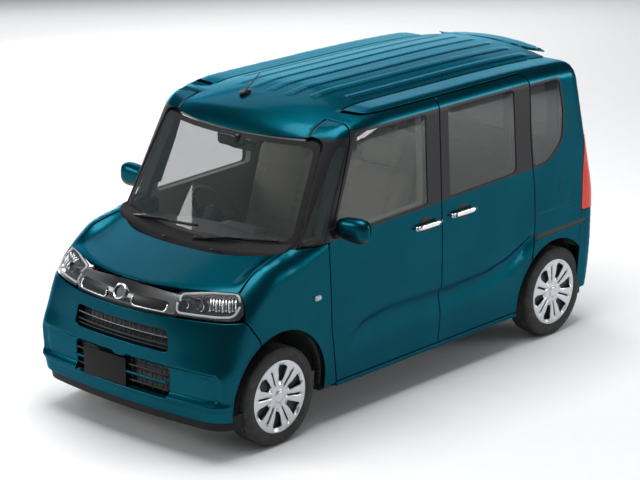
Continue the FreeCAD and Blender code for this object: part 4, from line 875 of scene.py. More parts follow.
def chain(*lines):
    """Joins lines end to end into one loop of even steps."""
    points = np.concatenate(lines)
    keep = np.linalg.norm(points - np.roll(points, 1, 0), axis=1) > SAME_POINT
    points = points[keep]
    out = []
    for i in range(len(points)):
        a, b = points[i], points[(i + 1) % len(points)]
        n = max(1, int(math.ceil(np.linalg.norm(b - a) / LOOP_STEP)))
        out.extend(a + (b - a) * k / n for k in range(n))
    return np.array(out)


def toward(lon, lat):
    """Directions at a longitude and a latitude."""
    return np.stack([np.cos(lat) * np.cos(lon), np.cos(lat) * np.sin(lon), np.sin(lat)], 1)


class Globe:
    """Rays from one point inside the car; the chart is (longitude, latitude)."""

    def __init__(self, x, y, z, scale=1.0, turn=0.0):
        self.centre, self.scale, self.turn = np.array([x, y, z], float), scale, turn

    def flat(self, p):
        d = p - self.centre
        reach = np.hypot(d[:, 0], d[:, 1])
        lon = (np.arctan2(d[:, 1], d[:, 0]) - self.turn + math.pi) % (2 * math.pi) - math.pi
        return np.stack([lon, np.arctan2(d[:, 2], reach)], 1) * self.scale

    def ray(self, q):
        lon, lat = q[:, 0] / self.scale + self.turn, q[:, 1] / self.scale
        origin = np.tile(self.centre, (len(q), 1))
        return origin, toward(lon, lat)


FLANK = Globe(-0.30, 0.30, 0.85, 1.2)
WING = Globe(-0.20, -0.95, 0.60, 0.9, -0.6)

FRONT_DOOR = [
    (-0.716, 0.238, 0.008), (-0.777, 0.560, 0.40), (-0.792, 0.960, 0.20), (-0.792, 1.052, 0.02),
    (-0.548, 1.684, 0.05), (0.1645, 1.684), (0.1645, 0.238),
]
SLIDE_DOOR = (
    [(0.1705, 1.684), (0.1705, 0.238)]
    + arc(REAR_ARCH[0], REAR_ARCH[1], REAR_ARCH[2], 184.8, 132.0, 16)
    + [(1.044, 0.660, 0.10), (1.037, 0.980, 0.5), (1.008, 1.250, 0.5), (1.002, 1.684, 0.075)]
)
FRONT_WINDOW = [
    (-0.764, 1.074, 0.012), (-0.543, 1.612, 0.030), (0.044, 1.612, 0.022), (0.044, 1.097, 0.022),
]
SLIDE_WINDOW = [
    (0.246, 1.097, 0.022), (0.246, 1.612, 0.022), (0.852, 1.612, 0.030), (0.868, 1.116, 0.045),
]
REAR_WINDOW = [
    (1.040, 1.116, 0.035), (1.000, 1.606, 0.030), (1.292, 1.604, 0.045), (1.330, 1.400, 0.25),
    (1.318, 1.235, 0.10), (1.185, 1.126, 0.16),
]
CORNER_WINDOW = [
    (-0.960, 1.072, 0.012), (-0.668, 1.560, 0.030), (-0.610, 1.560, 0.016), (-0.838, 1.072, 0.014),
]
SCREEN = [
    (0.655, 1.046, 0.030), (0.587, 1.572, 0.045), (0.300, 1.566), (0.0, 1.563), (-0.300, 1.566),
    (-0.587, 1.572, 0.045), (-0.655, 1.046, 0.030), (-0.40, 1.020, 0.6), (0.0, 1.008, 1.2),
    (0.40, 1.020, 0.6),
]
GATE_WINDOW = [
    (0.560, 1.120, 0.045), (0.520, 1.612, 0.040), (-0.520, 1.612, 0.040), (-0.560, 1.120, 0.045),
]


def add_piece(obj, body, nodes):
    """A piece stands for these nodes, which it hides, and rides this body."""
    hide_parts(*nodes)
    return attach(obj, body)


def add_pair(left, right, body, node):
    """The same on both sides."""
    for obj, side in ((left, "_left"), (right, "_right")):
        add_piece(obj, body + side, [node + side])


# How far a door's rim turns in, and how far its inner wall is drawn in
DOOR_RIM = 0.038
DOOR_INNER = 0.034


def build_doors():
    """Front and sliding doors: outer skins with dark window surrounds, and their inner walls."""
    window = lay(cabin, SIDE, FRONT_WINDOW)
    dark = lay(cabin, SIDE, [(-0.85, 1.064), (-0.61, 1.628), (0.30, 1.628), (0.30, 1.085)])
    front = panel(
        "front_door_skin", cabin, SIDE, [lay(cabin, SIDE, FRONT_DOOR), window], ["paint", "pillar"],
        [(dark, 1)], depth=DOOR_RIM,
    )
    window = lay(cabin, SIDE, SLIDE_WINDOW)
    dark = lay(cabin, SIDE, [(0.0, 1.085), (0.0, 1.628), (1.10, 1.628), (1.10, 1.104)])
    slide = panel(
        "slide_door_skin", cabin, SIDE, [lay(cabin, SIDE, SLIDE_DOOR), window], ["paint", "pillar"],
        [(dark, 1)], depth=DOOR_RIM,
    )
    for skin, kind, moving in ((front, "front_door_", True), (slide, "sliding_door_", False)):
        for side, outer in (("right", mirror(skin, "skin_right")), ("left", skin)):
            inner = pushed_copy(kind + "inner", [kind + side], cabin, ["dash_light"], DOOR_INNER)
            whole = join(kind + side + "_panel", [outer, inner])
            add_piece(whole, kind + side if moving else "body", [kind + side])


def flank_loop():
    """The fixed body side: rear quarter, roof rail and windscreen pillar."""
    arch = lay(cabin, SIDE, arc(*REAR_ARCH, 130.6, 45.4), False)
    seam = lay(cabin, SIDE, [(1.4995, 0.523), (1.4995, 0.580, 0.03), (1.513, 0.745)], False)
    lamp = lay(cabin, SIDE, [(1.513, 0.755), (1.519, 0.980, 0.8), (1.556, 1.209)], False)
    gate = lay(cabin, BACK, [(0.636, 1.212), (0.636, 1.250, 0.30), (0.606, 1.675)], False)
    top = link(cabin, TAIL, lamp[-1], gate[0])[1:-1]
    roof = lay(
        cabin, TOP,
        [
            (0.600, 1.500, 0.0), (0.600, 1.4445), (0.487, 1.4445), (0.487, -0.350, 2.0),
            (0.498, -0.600, 0.5), (0.512, -0.704),
        ],
        False,
    )
    pillar = lay(cabin, FRONT, [(0.530, 1.594), (0.600, 1.582, 0.05), (0.668, 1.059)], False)
    belt = lay(cabin, SIDE, [(-0.960, 1.059), (-0.797, 1.059)], False)
    door = lay(
        cabin, SIDE,
        [
            (-0.797, 1.059), (-0.5515, 1.690, 0.05), (1.008, 1.690, 0.08), (1.014, 1.250, 0.5),
            (1.043, 0.980, 0.5), (1.050, 0.660, 0.1), (1.024, 0.5365),
        ],
        False,
    )
    return chain(arch, seam, lamp, top, gate, roof, pillar, belt, door)


def build_flanks():
    """Rear quarters with roof rails and pillars, sills, and the frame behind them."""
    rear = lay(cabin, SIDE, REAR_WINDOW)
    corner = lay(cabin, SIDE, CORNER_WINDOW)
    dark = lay(
        cabin, SIDE,
        [
            (0.95, 1.104), (0.95, 1.620), (1.300, 1.618, 0.05), (1.346, 1.400, 0.25),
            (1.333, 1.230, 0.11), (1.188, 1.112, 0.17),
        ],
    )
    black = lay(cabin, SIDE, [(-1.06, 1.060), (-0.735, 1.588), (-0.56, 1.600), (-0.77, 1.060)])
    skin = panel(
        "flank_skin", cabin, FLANK, [flank_loop(), rear, corner], ["paint", "pillar"],
        [(dark, 1), (black, 1)],
    )
    sill = patch(
        "sill_skin", cabin, SIDE, [(-0.714, 0.206), (-0.718, 0.232), (0.8995, 0.232), (0.904, 0.206)],
        ["paint"], (), 0.03, 0.003, 0.02,
    )
    skin = join("flank_skin", [skin, sill])
    other = mirror(skin, "flank_skin_right")
    for side, outer in (("left", skin), ("right", other)):
        inner = pushed_copy("flank_inner", ["side_frame_" + side], cabin, ["pillar"], 0.026)
        add_piece(
            join("side_frame_%s_panel" % side, [outer, inner]), "body", ["side_frame_" + side],
        )


def roof_loop():
    side = lay(
        roof_beaded, TOP,
        [(0.473, 1.4395), (0.473, -0.350, 2.0), (0.484, -0.600, 0.5), (0.498, -0.706)], False,
    )
    front = lay(
        roof_beaded, FRONT,
        [(0.506, 1.588), (0.300, 1.576, 1.5), (0.0, 1.572), (-0.300, 1.576, 1.5), (-0.506, 1.588)],
        False,
    )
    return chain(side, front, side[::-1] * [-1, 1, 1])


# The roof's beads: x, front end and rear end
BEADS = [(0.405, -0.30, 1.36), (0.270, -0.44, 1.36), (0.135, -0.50, 1.36), (0.0, -0.50, 1.36)]


def roof_beaded(x, y, z):
    """The roof with its long pressed beads."""
    rise = 0
    across = np.abs(x)
    for at, start, end in BEADS:
        d = across - at
        shape = smooth_step(0.034, 0.018, np.abs(d))
        shape = 0.0045 * shape * smooth_step(start, start + 0.05, y)
        rise = rise + shape * smooth_step(end, end - 0.05, y)
    return roof_only(x, y, z - rise)


def build_roof():
    """The beaded roof panel, its dark rain channels and its inner wall."""
    skin = panel("roof_skin", roof_beaded, TOP, [roof_loop()], ["paint"], (), 0.017)
    channels = []
    for sign in (1, -1):
        line = lay(
            cabin, TOP, [(0.480, 1.4395), (0.480, -0.350, 2.0), (0.491, -0.600, 0.5), (0.503, -0.700)],
            False,
        )
        across = np.array([-0.010, -0.006, 0.006, 0.010])
        drop = np.array([0.004, 0.011, 0.011, 0.004])
        rows = [line + [a, 0, -d] for a, d in zip(across, drop)]
        verts = np.concatenate(rows) * [sign, 1, 1]
        n = len(line)
        faces = []
        for r in range(3):
            for i in range(n - 1):
                quad = (r * n + i, r * n + i + 1, (r + 1) * n + i + 1, (r + 1) * n + i)
                faces.append(quad if sign > 0 else quad[::-1])
        channels.append(make("channel", verts, faces, ["ditch"]))
    inner = pushed_copy("roof_inner", ["roof_panel"], roof_only, ["headliner"], 0.016)
    add_piece(join("roof_skin_panel", [skin, inner] + channels), "body", ["roof_panel"])


def build_bonnet():
    half = [
        (0.0, -1.602, 1.5), (0.20, -1.584, 1.5), (0.40, -1.529, 1.0), (0.55, -1.466, 0.6),
        (0.6425, -1.420, 0.02), (0.628, -1.240, 0.8), (0.611, -1.036, 0.03), (0.45, -1.176, 0.5),
        (0.25, -1.228, 0.8),
    ]
    points = half + [(0.0, -1.246, 1.5)] + [(-p[0],) + tuple(p[1:]) for p in reversed(half[1:])]
    skin = patch("bonnet_skin", front, TOP, points, ["paint"], (), 0.022, 0.005)
    inner = pushed_copy("bonnet_inner", ["bonnet"], front, ["paint"], 0.014)
    add_piece(join("bonnet_panel", [skin, inner]), "bonnet", ["bonnet"])


def fender_loop():
    top = lay(front, TOP, [(0.618, -1.034), (0.635, -1.240, 0.8), (0.649, -1.420)], False)
    lamp = lay(
        front, WING,
        WING.flat(np.array([
            [0.660, -1.424, 0.905], [0.705, -1.434, 0.885], [0.722, -1.444, 0.83],
            [0.727, -1.453, 0.772],
        ])),
        False,
    )
    seam = lay(front, SIDE, [(-1.450, 0.770), (-1.349, 0.640, 0.05), (-1.346, 0.618)], False)
    arch = lay(front, SIDE, arc(*FRONT_ARCH, 115.8, -9.0), False)
    low = lay(front, SIDE, [(-0.829, 0.230), (-0.7225, 0.230)], False)
    door = lay(
        front, SIDE,
        [
            (-0.7225, 0.238), (-0.783, 0.560, 0.40), (-0.798, 0.960, 0.20), (-0.798, 1.053),
            (-1.000, 1.053),
        ],
        False,
    )
    return chain(top, lamp, seam, arch, low, door)


def build_fenders():
    skin = panel("fender_skin", front, WING, [fender_loop()], ["paint"], (), 0.022)
    other = mirror(skin, "fender_skin_right")
    inner = pushed_copy("fender_inner", ["front_fenders"], front, ["trim"], 0.026)
    add_piece(join("front_fender_panels", [skin, other, inner]), "body", ["front_fenders"])


# Further mesh builders


def patch(name, form, chart, outline, slots, *detail, **named):
    """A panel without openings."""
    return panel(name, form, chart, [lay(form, chart, outline)], slots, *detail, **named)


def bar(name, form, chart, points, radius, slots, **shape):
    """A bar along an open line of a chart."""
    return tube(name, lay(form, chart, points, False), radius, slots, **shape)


def point_on(form, chart, u, v, out=0.0):
    """One point of a chart on the body, moved out along the surface's normal."""
    at = on_body(form, chart, [[u, v]])
    return (at + normals(form, at) * out)[0]


def ring_faces(rings, count, closed=False):
    """Faces between rings of points; closed joins the last ring to the first."""
    faces = []
    for i in range(rings if closed else rings - 1):
        j = (i + 1) % rings
        for k in range(count):
            m = (k + 1) % count
            faces.append((i * count + k, i * count + m, j * count + m, j * count + k))
    return faces


def end_faces(rings, count):
    """The two flat ends of a row of rings."""
    first = tuple(range(count - 1, -1, -1))
    return [first, tuple((rings - 1) * count + k for k in range(count))]


def tube(name, path, radius, slots, closed=False, sides=10, flat=1.0, up=None):
    """A round or flattened bar along a path."""
    path = np.asarray(path, float)
    n = len(path)
    ahead = np.roll(path, -1, 0) - np.roll(path, 1, 0)
    if not closed:
        ahead[0], ahead[-1] = path[1] - path[0], path[-1] - path[-2]
    ahead /= np.linalg.norm(ahead, axis=1)[:, None]
    up = np.array([0.0, 0.0, 1.0]) if up is None else np.asarray(up, float)
    side = np.cross(ahead, up)
    side /= np.linalg.norm(side, axis=1)[:, None] + 1e-9
    over = np.cross(side, ahead)
    a = np.arange(sides) * 2 * math.pi / sides
    radius = np.broadcast_to(np.asarray(radius, float), (n,))
    wide = np.cos(a)[None, :, None] * side[:, None] * radius[:, None, None]
    tall = np.sin(a)[None, :, None] * over[:, None] * radius[:, None, None] * flat
    verts = (path[:, None] + (wide + tall)).reshape(-1, 3)
    faces = ring_faces(n, sides, closed) + ([] if closed else end_faces(n, sides))
    obj = make(name, verts, faces, slots)
    turn_outward(obj)
    return obj


def turn_outward(obj):
    bm = bmesh.new()
    bm.from_mesh(obj.data)
    bmesh.ops.recalc_face_normals(bm, faces=bm.faces)
    bm.to_mesh(obj.data)
    bm.free()


def lathe(name, profile, centre, slots, marks=None, count=64, axis="X", sharp=30.0):
    """A profile of (distance along the axis, radius) turned about an axis through a centre."""
    profile = np.asarray(profile, float)
    a = np.arange(count) * 2 * math.pi / count
    along, reach = profile[:, 0], profile[:, 1]
    verts = []
    for s, r in zip(along, reach):
        ring = [np.full(count, s), r * np.cos(a), r * np.sin(a)]
        order = {"X": (0, 1, 2), "Y": (1, 0, 2), "Z": (2, 1, 0)}[axis]
        made = np.zeros((count, 3))
        for source, place in enumerate(order):
            made[:, place] = ring[source]
        verts.append(made + np.asarray(centre, float))
    kinds = [marks[i] if marks else 0 for i in range(len(profile) - 1) for _ in range(count)]
    obj = make(name, np.concatenate(verts), ring_faces(len(profile), count), slots, kinds)
    bm = bmesh.new()
    bm.from_mesh(obj.data)
    bmesh.ops.remove_doubles(bm, verts=bm.verts, dist=1e-6)
    bmesh.ops.recalc_face_normals(bm, faces=bm.faces)
    bm.to_mesh(obj.data)
    bm.free()
    obj.data.set_sharp_from_angle(angle=math.radians(sharp))
    return obj


def rounded_box(centre, half, radius, x, y, z):
    """Distance to a box with rounded edges."""
    q = [np.abs(p - c) - (h - radius) for p, c, h in zip((x, y, z), centre, half)]
    out = np.sqrt(sum(np.maximum(p, 0) ** 2 for p in q))
    return out + np.minimum(np.maximum(np.maximum(q[0], q[1]), q[2]), 0) - radius


def pebble(name, centre, form, slots, across=48, rows=28, mark=None, far=0.9):
    """A closed rounded piece, found along rays from a point inside it."""
    lon = np.arange(across) * 2 * math.pi / across
    lat = (np.arange(1, rows) / rows - 0.5) * math.pi
    grid = np.stack(np.meshgrid(lon, lat), -1).reshape(-1, 2)
    direction = toward(grid[:, 0], grid[:, 1])
    direction = np.concatenate([direction, [[0, 0, -1.0], [0, 0, 1.0]]])
    points = land(form, np.tile(np.asarray(centre, float), (len(direction), 1)), direction, far)
    faces = ring_faces(rows - 1, across)
    low, high = len(points) - 2, len(points) - 1
    for k in range(across):
        m = (k + 1) % across
        faces.append((low, m, k))
        faces.append((high, (rows - 2) * across + k, (rows - 2) * across + m))
    kinds = None
    if mark is not None:
        middle = np.array([points[list(f)].mean(0) for f in faces])
        kinds = mark(middle)
    return make(name, points, faces, slots, kinds, normals(form, points))


def soft_block(name, centre, half, radius, slots, across, rows, far=0.9, eye=None):
    """A block with rounded edges, found along rays from its middle or from another point in it."""

    def form(x, y, z):
        return rounded_box(centre, half, radius, x, y, z)

    return pebble(name, centre if eye is None else eye, form, slots, across, rows, None, far)


def block(name, low, high, slots, bevel=0.0):
    """A plain box, with its edges rounded when a bevel is given."""
    centre = [(a + b) / 2 for a, b in zip(low, high)]
    half = [(b - a) / 2 for a, b in zip(low, high)]
    bm = bmesh.new()
    bmesh.ops.create_cube(bm, size=1.0)
    for v in bm.verts:
        v.co = Vector([c + 2 * h * p for c, h, p in zip(centre, half, v.co)])
    if bevel:
        bmesh.ops.bevel(bm, geom=list(bm.edges), offset=bevel, segments=3, profile=0.5, affect="EDGES")
    mesh = bpy.data.meshes.new(name)
    bm.to_mesh(mesh)
    bm.free()
    for slot in slots:
        mesh.materials.append(material(slot))
    mesh.polygons.foreach_set("use_smooth", [True] * len(mesh.polygons))
    mesh.set_sharp_from_angle(angle=math.radians(40))
    obj = bpy.data.objects.new(name, mesh)
    bpy.context.scene.collection.objects.link(obj)
    return obj


def sunk(form, depth):
    """The same form, drawn in by a depth."""
    return lambda x, y, z: form(x, y, z) + depth


# Front end


LAMP_LOW, LAMP_HIGH = 0.776, 0.896
INTAKE = [(0.345, 0.692, 0.030), (0.364, 0.571, 0.030), (-0.364, 0.571, 0.030), (-0.345, 0.692, 0.030)]
MOUTH = [(0.366, 0.482, 0.026), (0.356, 0.308, 0.030), (-0.356, 0.308, 0.030), (-0.366, 0.482, 0.026)]
LAMP = [
    (0.352, 0.776, 0.020), (0.352, 0.882, 0.020), (0.430, 0.891, 0.3), (0.560, 0.904, 0.3),
    (0.686, 0.908, 0.030), (0.686, 0.790, 0.045), (0.640, 0.776, 0.1),
]


def bumper_form(x, y, z):
    """The front with sunken corners beside the lower opening, under a soft crease."""
    u = np.arctan2(np.abs(x), -(y + 0.90)) * 0.75
    beside, above = np.abs(u - 0.30) - 0.235, np.abs(z - 0.415) - 0.045
    reach = np.hypot(np.maximum(beside, 0), np.maximum(above, 0)) - 0.035
    dent = 0.018 * smooth_step(0.012, -0.014, reach)
    lip = 0.010 * np.exp(-((z - 0.318) / 0.018) ** 2) * smooth_step(0.66, 0.58, u)
    return front(x, y, z) + dent - lip


def build_bumper():
    """Front bumper: skin, two openings with their slats, lower lip and blank plate."""
    form = bumper_form
    seam = lay(form, SIDE, [(-1.456, 0.766), (-1.355, 0.640, 0.05), (-1.352, 0.616)], False)
    arch = lay(form, SIDE, arc(*FRONT_ARCH, 117.2, 190.0), False)
    low = link(form, NOSE, arch[-1], point_on(form, FRONT, 0.0, 0.226))
    upper = link(form, NOSE, point_on(form, FRONT, 0.0, 0.762), seam[0])
    right = np.concatenate([upper, seam[1:], arch, low[1:]])
    loop = chain(right, right[::-1][1:-1] * [-1, 1, 1])
    intake, mouth = lay(form, FRONT, INTAKE), lay(form, FRONT, MOUTH)
    skin = panel("bumper_skin", form, NOSE, [loop, intake, mouth], ["paint"], (), 0.015, 0.006, 0.030)
    parts = [skin]
    behind = sunk(front, 0.050)
    for low_z, high_z in ((0.555, 0.705), (0.292, 0.498)):
        back = lay(behind, FRONT, [(0.385, high_z), (0.385, low_z), (-0.385, low_z), (-0.385, high_z)])
        parts.append(panel("opening_back", behind, FRONT, [back], ["black"], (), 0.05, 0.002, 0.004))
    bars = (
        (0.650, 0.0024, 0.352, 0.012, "slat"), (0.608, 0.0040, 0.356, 0.018, "black"),
        (0.585, 0.0030, 0.358, 0.018, "black"),
        (0.398, 0.0050, 0.360, 0.012, "paint"), (0.440, 0.0030, 0.362, 0.022, "black"),
        (0.352, 0.0030, 0.358, 0.022, "black"),
    )
    for z, radius, reach, deep, slot in bars:
        path = lay(sunk(front, deep), FRONT, [(-reach, z), (reach, z)], False)
        parts.append(tube("slat", path, radius, [slot], flat=1.6))
    for x in np.linspace(-0.30, 0.30, 9):
        for low_z, high_z in ((0.575, 0.688), (0.312, 0.478)):
            parts.append(bar(
                "rib", sunk(front, 0.034), FRONT, [(x, low_z), (x, high_z)], 0.0035, ["black"], sides=6,
            ))
    valance_form = sunk(front, 0.012)
    valance = [(-0.72, 0.175, 0.03), (-0.72, 0.262), (0.72, 0.262), (0.72, 0.175, 0.03)]
    parts.append(patch("valance", valance_form, NOSE, valance, ["trim"], (), 0.05, 0.004, 0.012))
    y = float(point_on(form, FRONT, -0.112, 0.389)[1]) - 0.012
    parts.append(block(
        "front_plate", (-0.277, y - 0.002, 0.306), (0.053, y + 0.003, 0.471), ["trim"], 0.0015,
    ))
    parts.append(block(
        "front_plate_holder", (-0.20, y + 0.003, 0.33), (-0.02, y + 0.030, 0.45), ["trim"], 0.002,
    ))
    inner = pushed_copy("bumper_inner", ["front_bumper"], front, ["trim"], 0.062)
    add_piece(join("front_bumper_panel", parts + [inner]), "body", ["front_bumper"])


def build_grille():
    """The band between the headlamps, its two dark pods and the plain round emblem."""
    form = sunk(front, 0.010)
    band = lay(
        form, FRONT,
        [
            (0.376, 0.776, 0.012), (0.376, 0.872, 0.02), (0.0, 0.889, 3.0), (-0.376, 0.872, 0.02),
            (-0.376, 0.776, 0.012),
        ],
    )
    parts = [panel("grille_band", form, FRONT, [band], ["grille"], (), 0.02, 0.004, 0.030)]
    strip_form = sunk(front, 0.016)
    strip = [(0.380, 0.758), (0.380, 0.790), (-0.380, 0.790), (-0.380, 0.758)]
    parts.append(patch("grille_strip", strip_form, FRONT, strip, ["black"], (), 0.03, 0.003, 0.02))
    for sign in (-1, 1):
        low, high = sorted((sign * 0.098, sign * 0.328))
        top = 0.846
        pod_form = sunk(front, 0.0045)
        outline = [
            (low, 0.786, 0.022), (low, top, 0.016), (high, top - 0.006, 0.016), (high, 0.786, 0.022),
        ]
        parts.append(patch("pod", pod_form, FRONT, outline, ["black"], (), 0.018, 0.004, 0.012))
        edge_form = sunk(front, 0.002)
        parts.append(bar(
            "pod_edge", edge_form, FRONT,
            [(low, top - 0.018), (low, 0.786, 0.022), (high, 0.786, 0.022), (high, top - 0.024)],
            0.0042, ["silver"],
        ))
    spot = on_body(front, FRONT, [[0.0, 0.838]])
    facing = normals(front, spot)[0]
    lean = Matrix.Rotation(math.atan2(-facing[2], -facing[1]), 4, "X")
    tilt = Matrix.Translation(Vector(spot[0])) @ lean
    profile = [
        (0.007, 0.0), (0.007, 0.034), (-0.002, 0.0345), (-0.006, 0.0400), (-0.002, 0.0455),
        (0.012, 0.046),
    ]
    ring = lathe("emblem", profile, (0, 0, 0), ["black", "silver"], [0, 0, 1, 1, 1], 48, "Y")
    ring.data.transform(tilt)
    parts.append(ring)
    inner = pushed_copy("grille_inner", ["front_grille"], front, ["black"], 0.050)
    add_piece(join("front_grille_panel", parts + [inner]), "body", ["front_grille"])


def build_headlamps():
    """Clear lenses over dark housings with light bars and round reflectors."""
    lens_form, deep = sunk(front, 0.002), sunk(front, 0.046)
    lens = patch("lamp_lens", lens_form, NOSE, LAMP, ["clear"], (), 0.016, 0.004, 0.006)
    shell = patch("lamp_shell", deep, NOSE, LAMP, ["lamp_dark"], (), 0.02, 0.001, 0.003)
    wall_outer, wall_inner = lay(sunk(front, 0.005), NOSE, LAMP), lay(deep, NOSE, LAMP)
    n = len(wall_outer)
    wall = make(
        "lamp_wall", np.concatenate([wall_outer, wall_inner]),
        [(i, (i + 1) % n, n + (i + 1) % n, n + i) for i in range(n)], ["reflector"],
    )
    turn_outward(wall)
    bars = []
    upper = [
        (0.380, 0.846), (0.366, 0.872, 0.02), (0.430, 0.880, 0.3), (0.560, 0.892, 0.3),
        (0.672, 0.895, 0.025), (0.674, 0.860),
    ]
    lower = [
        (0.366, 0.838), (0.366, 0.790, 0.020), (0.560, 0.789, 0.2), (0.640, 0.793, 0.05),
        (0.672, 0.840),
    ]
    for points, radius in ((upper, 0.0060), (lower, 0.0062)):
        bars.append(tube("lamp_bar", lay(sunk(front, 0.012), NOSE, points, False), radius, ["glow"]))
    bowls = []
    for u, z, radius in ((0.410, 0.836, 0.024), (0.482, 0.838, 0.034)):
        spot = point_on(sunk(front, 0.020), NOSE, u, z)
        profile = [
            (0.004, 0.0), (0.006, radius * 0.5), (0.012, radius * 0.72), (0.010, radius * 0.78),
            (-0.008, radius), (-0.006, radius * 1.08), (0.022, radius * 1.08),
        ]
        bowls.append(lathe(
            "lamp_bowl", profile, spot, ["clear", "lamp_dark", "reflector"], [1, 1, 1, 1, 2, 1], 32,
            "Y",
        ))
    for k in range(9):
        u = 0.532 + 0.015 * k
        facet_form = sunk(front, 0.022 + 0.012 * (k % 2))
        bowls.append(bar(
            "lamp_facet", facet_form, NOSE, [(u, 0.812), (u + 0.004, 0.868)], 0.0078, ["reflector"],
            sides=4,
        ))
    left = join("headlamp_left", [lens, shell, wall] + bars + bowls)
    right = mirror(left, "headlamp_right")
    add_piece(join("headlamp_pair", [left, right]), "body", ["headlamps"])


# Rear end


def build_rear_bumper():
    seam = lay(cabin, SIDE, [(1.5055, 0.250), (1.5055, 0.580, 0.03), (1.519, 0.7405)], False)
    upper = link(cabin, TAIL, seam[-1], point_on(cabin, BACK, 0.640, 0.7405))
    edge = lay(
        cabin, BACK, [(0.638, 0.7405), (0.636, 0.640, 0.030), (0.600, 0.612), (0.0, 0.612)], False,
    )
    centre_low = point_on(cabin, BACK, 0.0, 0.232)
    bottom = link(cabin, TAIL, centre_low, seam[0])
    half = np.concatenate([bottom, seam[1:], upper[1:], edge[1:]])
    loop = chain(half, half[::-1][1:-1] * [-1, 1, 1])
    skin = panel("rear_bumper_skin", cabin, TAIL, [loop], ["paint"], (), 0.024, 0.006, 0.030)
    valance_form = sunk(cabin, 0.014)
    valance = lay(
        valance_form, TAIL, [(-0.66, 0.200, 0.03), (-0.66, 0.262), (0.66, 0.262), (0.66, 0.200, 0.03)],
    )
    low = panel("rear_valance", valance_form, TAIL, [valance], ["trim"], (), 0.05, 0.004, 0.012)
    reflectors = []
    for sign in (-1, 1):
        form = sunk(cabin, -0.003)
        u = sign * 0.44
        outline = [
            (u - 0.055, 0.330, 0.008), (u + 0.055, 0.330, 0.008), (u + 0.055, 0.362, 0.008),
            (u - 0.055, 0.362, 0.008),
        ]
        reflectors.append(patch("reflector", form, TAIL, outline, ["red"], (), 0.02, 0.003, 0.008))
    inner = pushed_copy("rear_bumper_inner", ["rear_bumper"], cabin, ["trim"], 0.034)
    add_piece(
        join("rear_bumper_panel", [skin, low, inner] + reflectors), "body", ["rear_bumper"],
    )


def spoiler_form(x, y, z):
    """The lip that carries the roof's line past the tailgate glass."""
    top = np.maximum(cabin(x, np.minimum(y, 1.44), z), roof_only(x, y, z))
    back = y - (1.600 - 0.035 * (np.abs(x) / 0.60) ** 2)
    under = (1.676 + 0.20 * (1.56 - y) - z) / 1.02
    ends = np.abs(x) - 0.594
    shape = smooth_max(top, back, 0.030)
    shape = smooth_max(shape, under, 0.020)
    shape = smooth_max(shape, ends, 0.030)
    return np.maximum(shape, 1.4505 - y)


def build_tailgate():
    """The lifting tailgate: outer skin, glass surround, spoiler, plate recess and handle."""
    window = lay(cabin, BACK, GATE_WINDOW)
    outline = [
        (0.628, 0.622, 0.035), (0.630, 1.250, 0.30), (0.600, 1.690, 0.020), (-0.600, 1.690, 0.020),
        (-0.630, 1.250, 0.30), (-0.628, 0.622, 0.035),
    ]
    dark = lay(
        cabin, BACK,
        [(0.580, 1.098, 0.045), (0.546, 1.66, 0.02), (-0.546, 1.66, 0.02), (-0.580, 1.098, 0.045)],
    )
    skin = panel(
        "gate_skin", gate_form, BACK, [lay(gate_form, BACK, outline), window], ["paint", "pillar"],
        [(dark, 1)], 0.022,
    )
    parts = [skin]
    xs = np.linspace(-0.5935, 0.5935, 61)
    count = 40
    a = np.arange(count) * 2 * math.pi / count
    rows = []
    for x in xs:
        origin = np.tile([x * 0.985, 1.515, 1.703], (count, 1))
        direction = np.stack([np.full(count, 0.0), np.cos(a), np.sin(a)], 1)
        rows.append(land(spoiler_form, origin, direction, 0.5))
    verts = np.concatenate(rows)
    faces = ring_faces(len(xs), count) + end_faces(len(xs), count)
    spoiler = make("spoiler", verts, faces, ["paint"])
    turn_outward(spoiler)
    spoiler.data.set_sharp_from_angle(angle=math.radians(40))
    parts.append(spoiler)
    y = float(point_on(gate_form, BACK, 0.0, 0.86)[1])
    parts.append(block(
        "rear_plate", (-0.165, y + 0.006, 0.775), (0.165, y + 0.010, 0.940), ["plate"], 0.0012,
    ))
    parts.append(bar(
        "gate_garnish", sunk(cabin, -0.006), BACK, [(-0.235, 0.992), (0.235, 0.992)], 0.013, ["paint"],
        sides=12,
    ))
    parts.append(bar(
        "gate_handle", sunk(cabin, 0.004), BACK, [(-0.090, 0.972), (0.090, 0.972)], 0.010, ["black"],
        sides=12,
    ))
    parts.append(bar(
        "high_stop_lamp", sunk(cabin, -0.001), BACK, [(-0.075, 1.652), (0.075, 1.652)], 0.007, ["red"],
        sides=10,
    ))
    arm_low = point_on(cabin, BACK, 0.03, 1.108) + [0, 0.016, 0]
    arm_high = point_on(cabin, BACK, 0.315, 1.205) + [0, 0.014, 0]
    parts.append(tube("rear_wiper_arm", [arm_low, arm_high], [0.009, 0.005], ["black"], sides=8))
    parts.append(bar(
        "rear_wiper_blade", sunk(cabin, -0.006), BACK, [(0.150, 1.176), (0.460, 1.226)], 0.0045,
        ["black"], sides=8,
    ))
    parts.append(lathe(
        "rear_wiper_cap", [(0.012, 0.0), (0.012, 0.012), (0.004, 0.018), (-0.020, 0.019)], arm_low,
        ["black"], None, 24, "Y",
    ))
    glass_form = sunk(cabin, 0.004)
    glass = patch(
        "gate_glass", glass_form, BACK, [(p[0] * 1.004, p[1]) + tuple(p[2:]) for p in GATE_WINDOW],
        ["privacy"], (), 0.05, 0.001, 0.004,
    )
    add_piece(glass, "tailgate", ["tailgate_glass"])
    inner = pushed_copy("gate_inner", ["tailgate"], cabin, ["dash_light"], 0.022)
    add_piece(join("tailgate_panel", parts + [inner]), "tailgate", ["tailgate"])


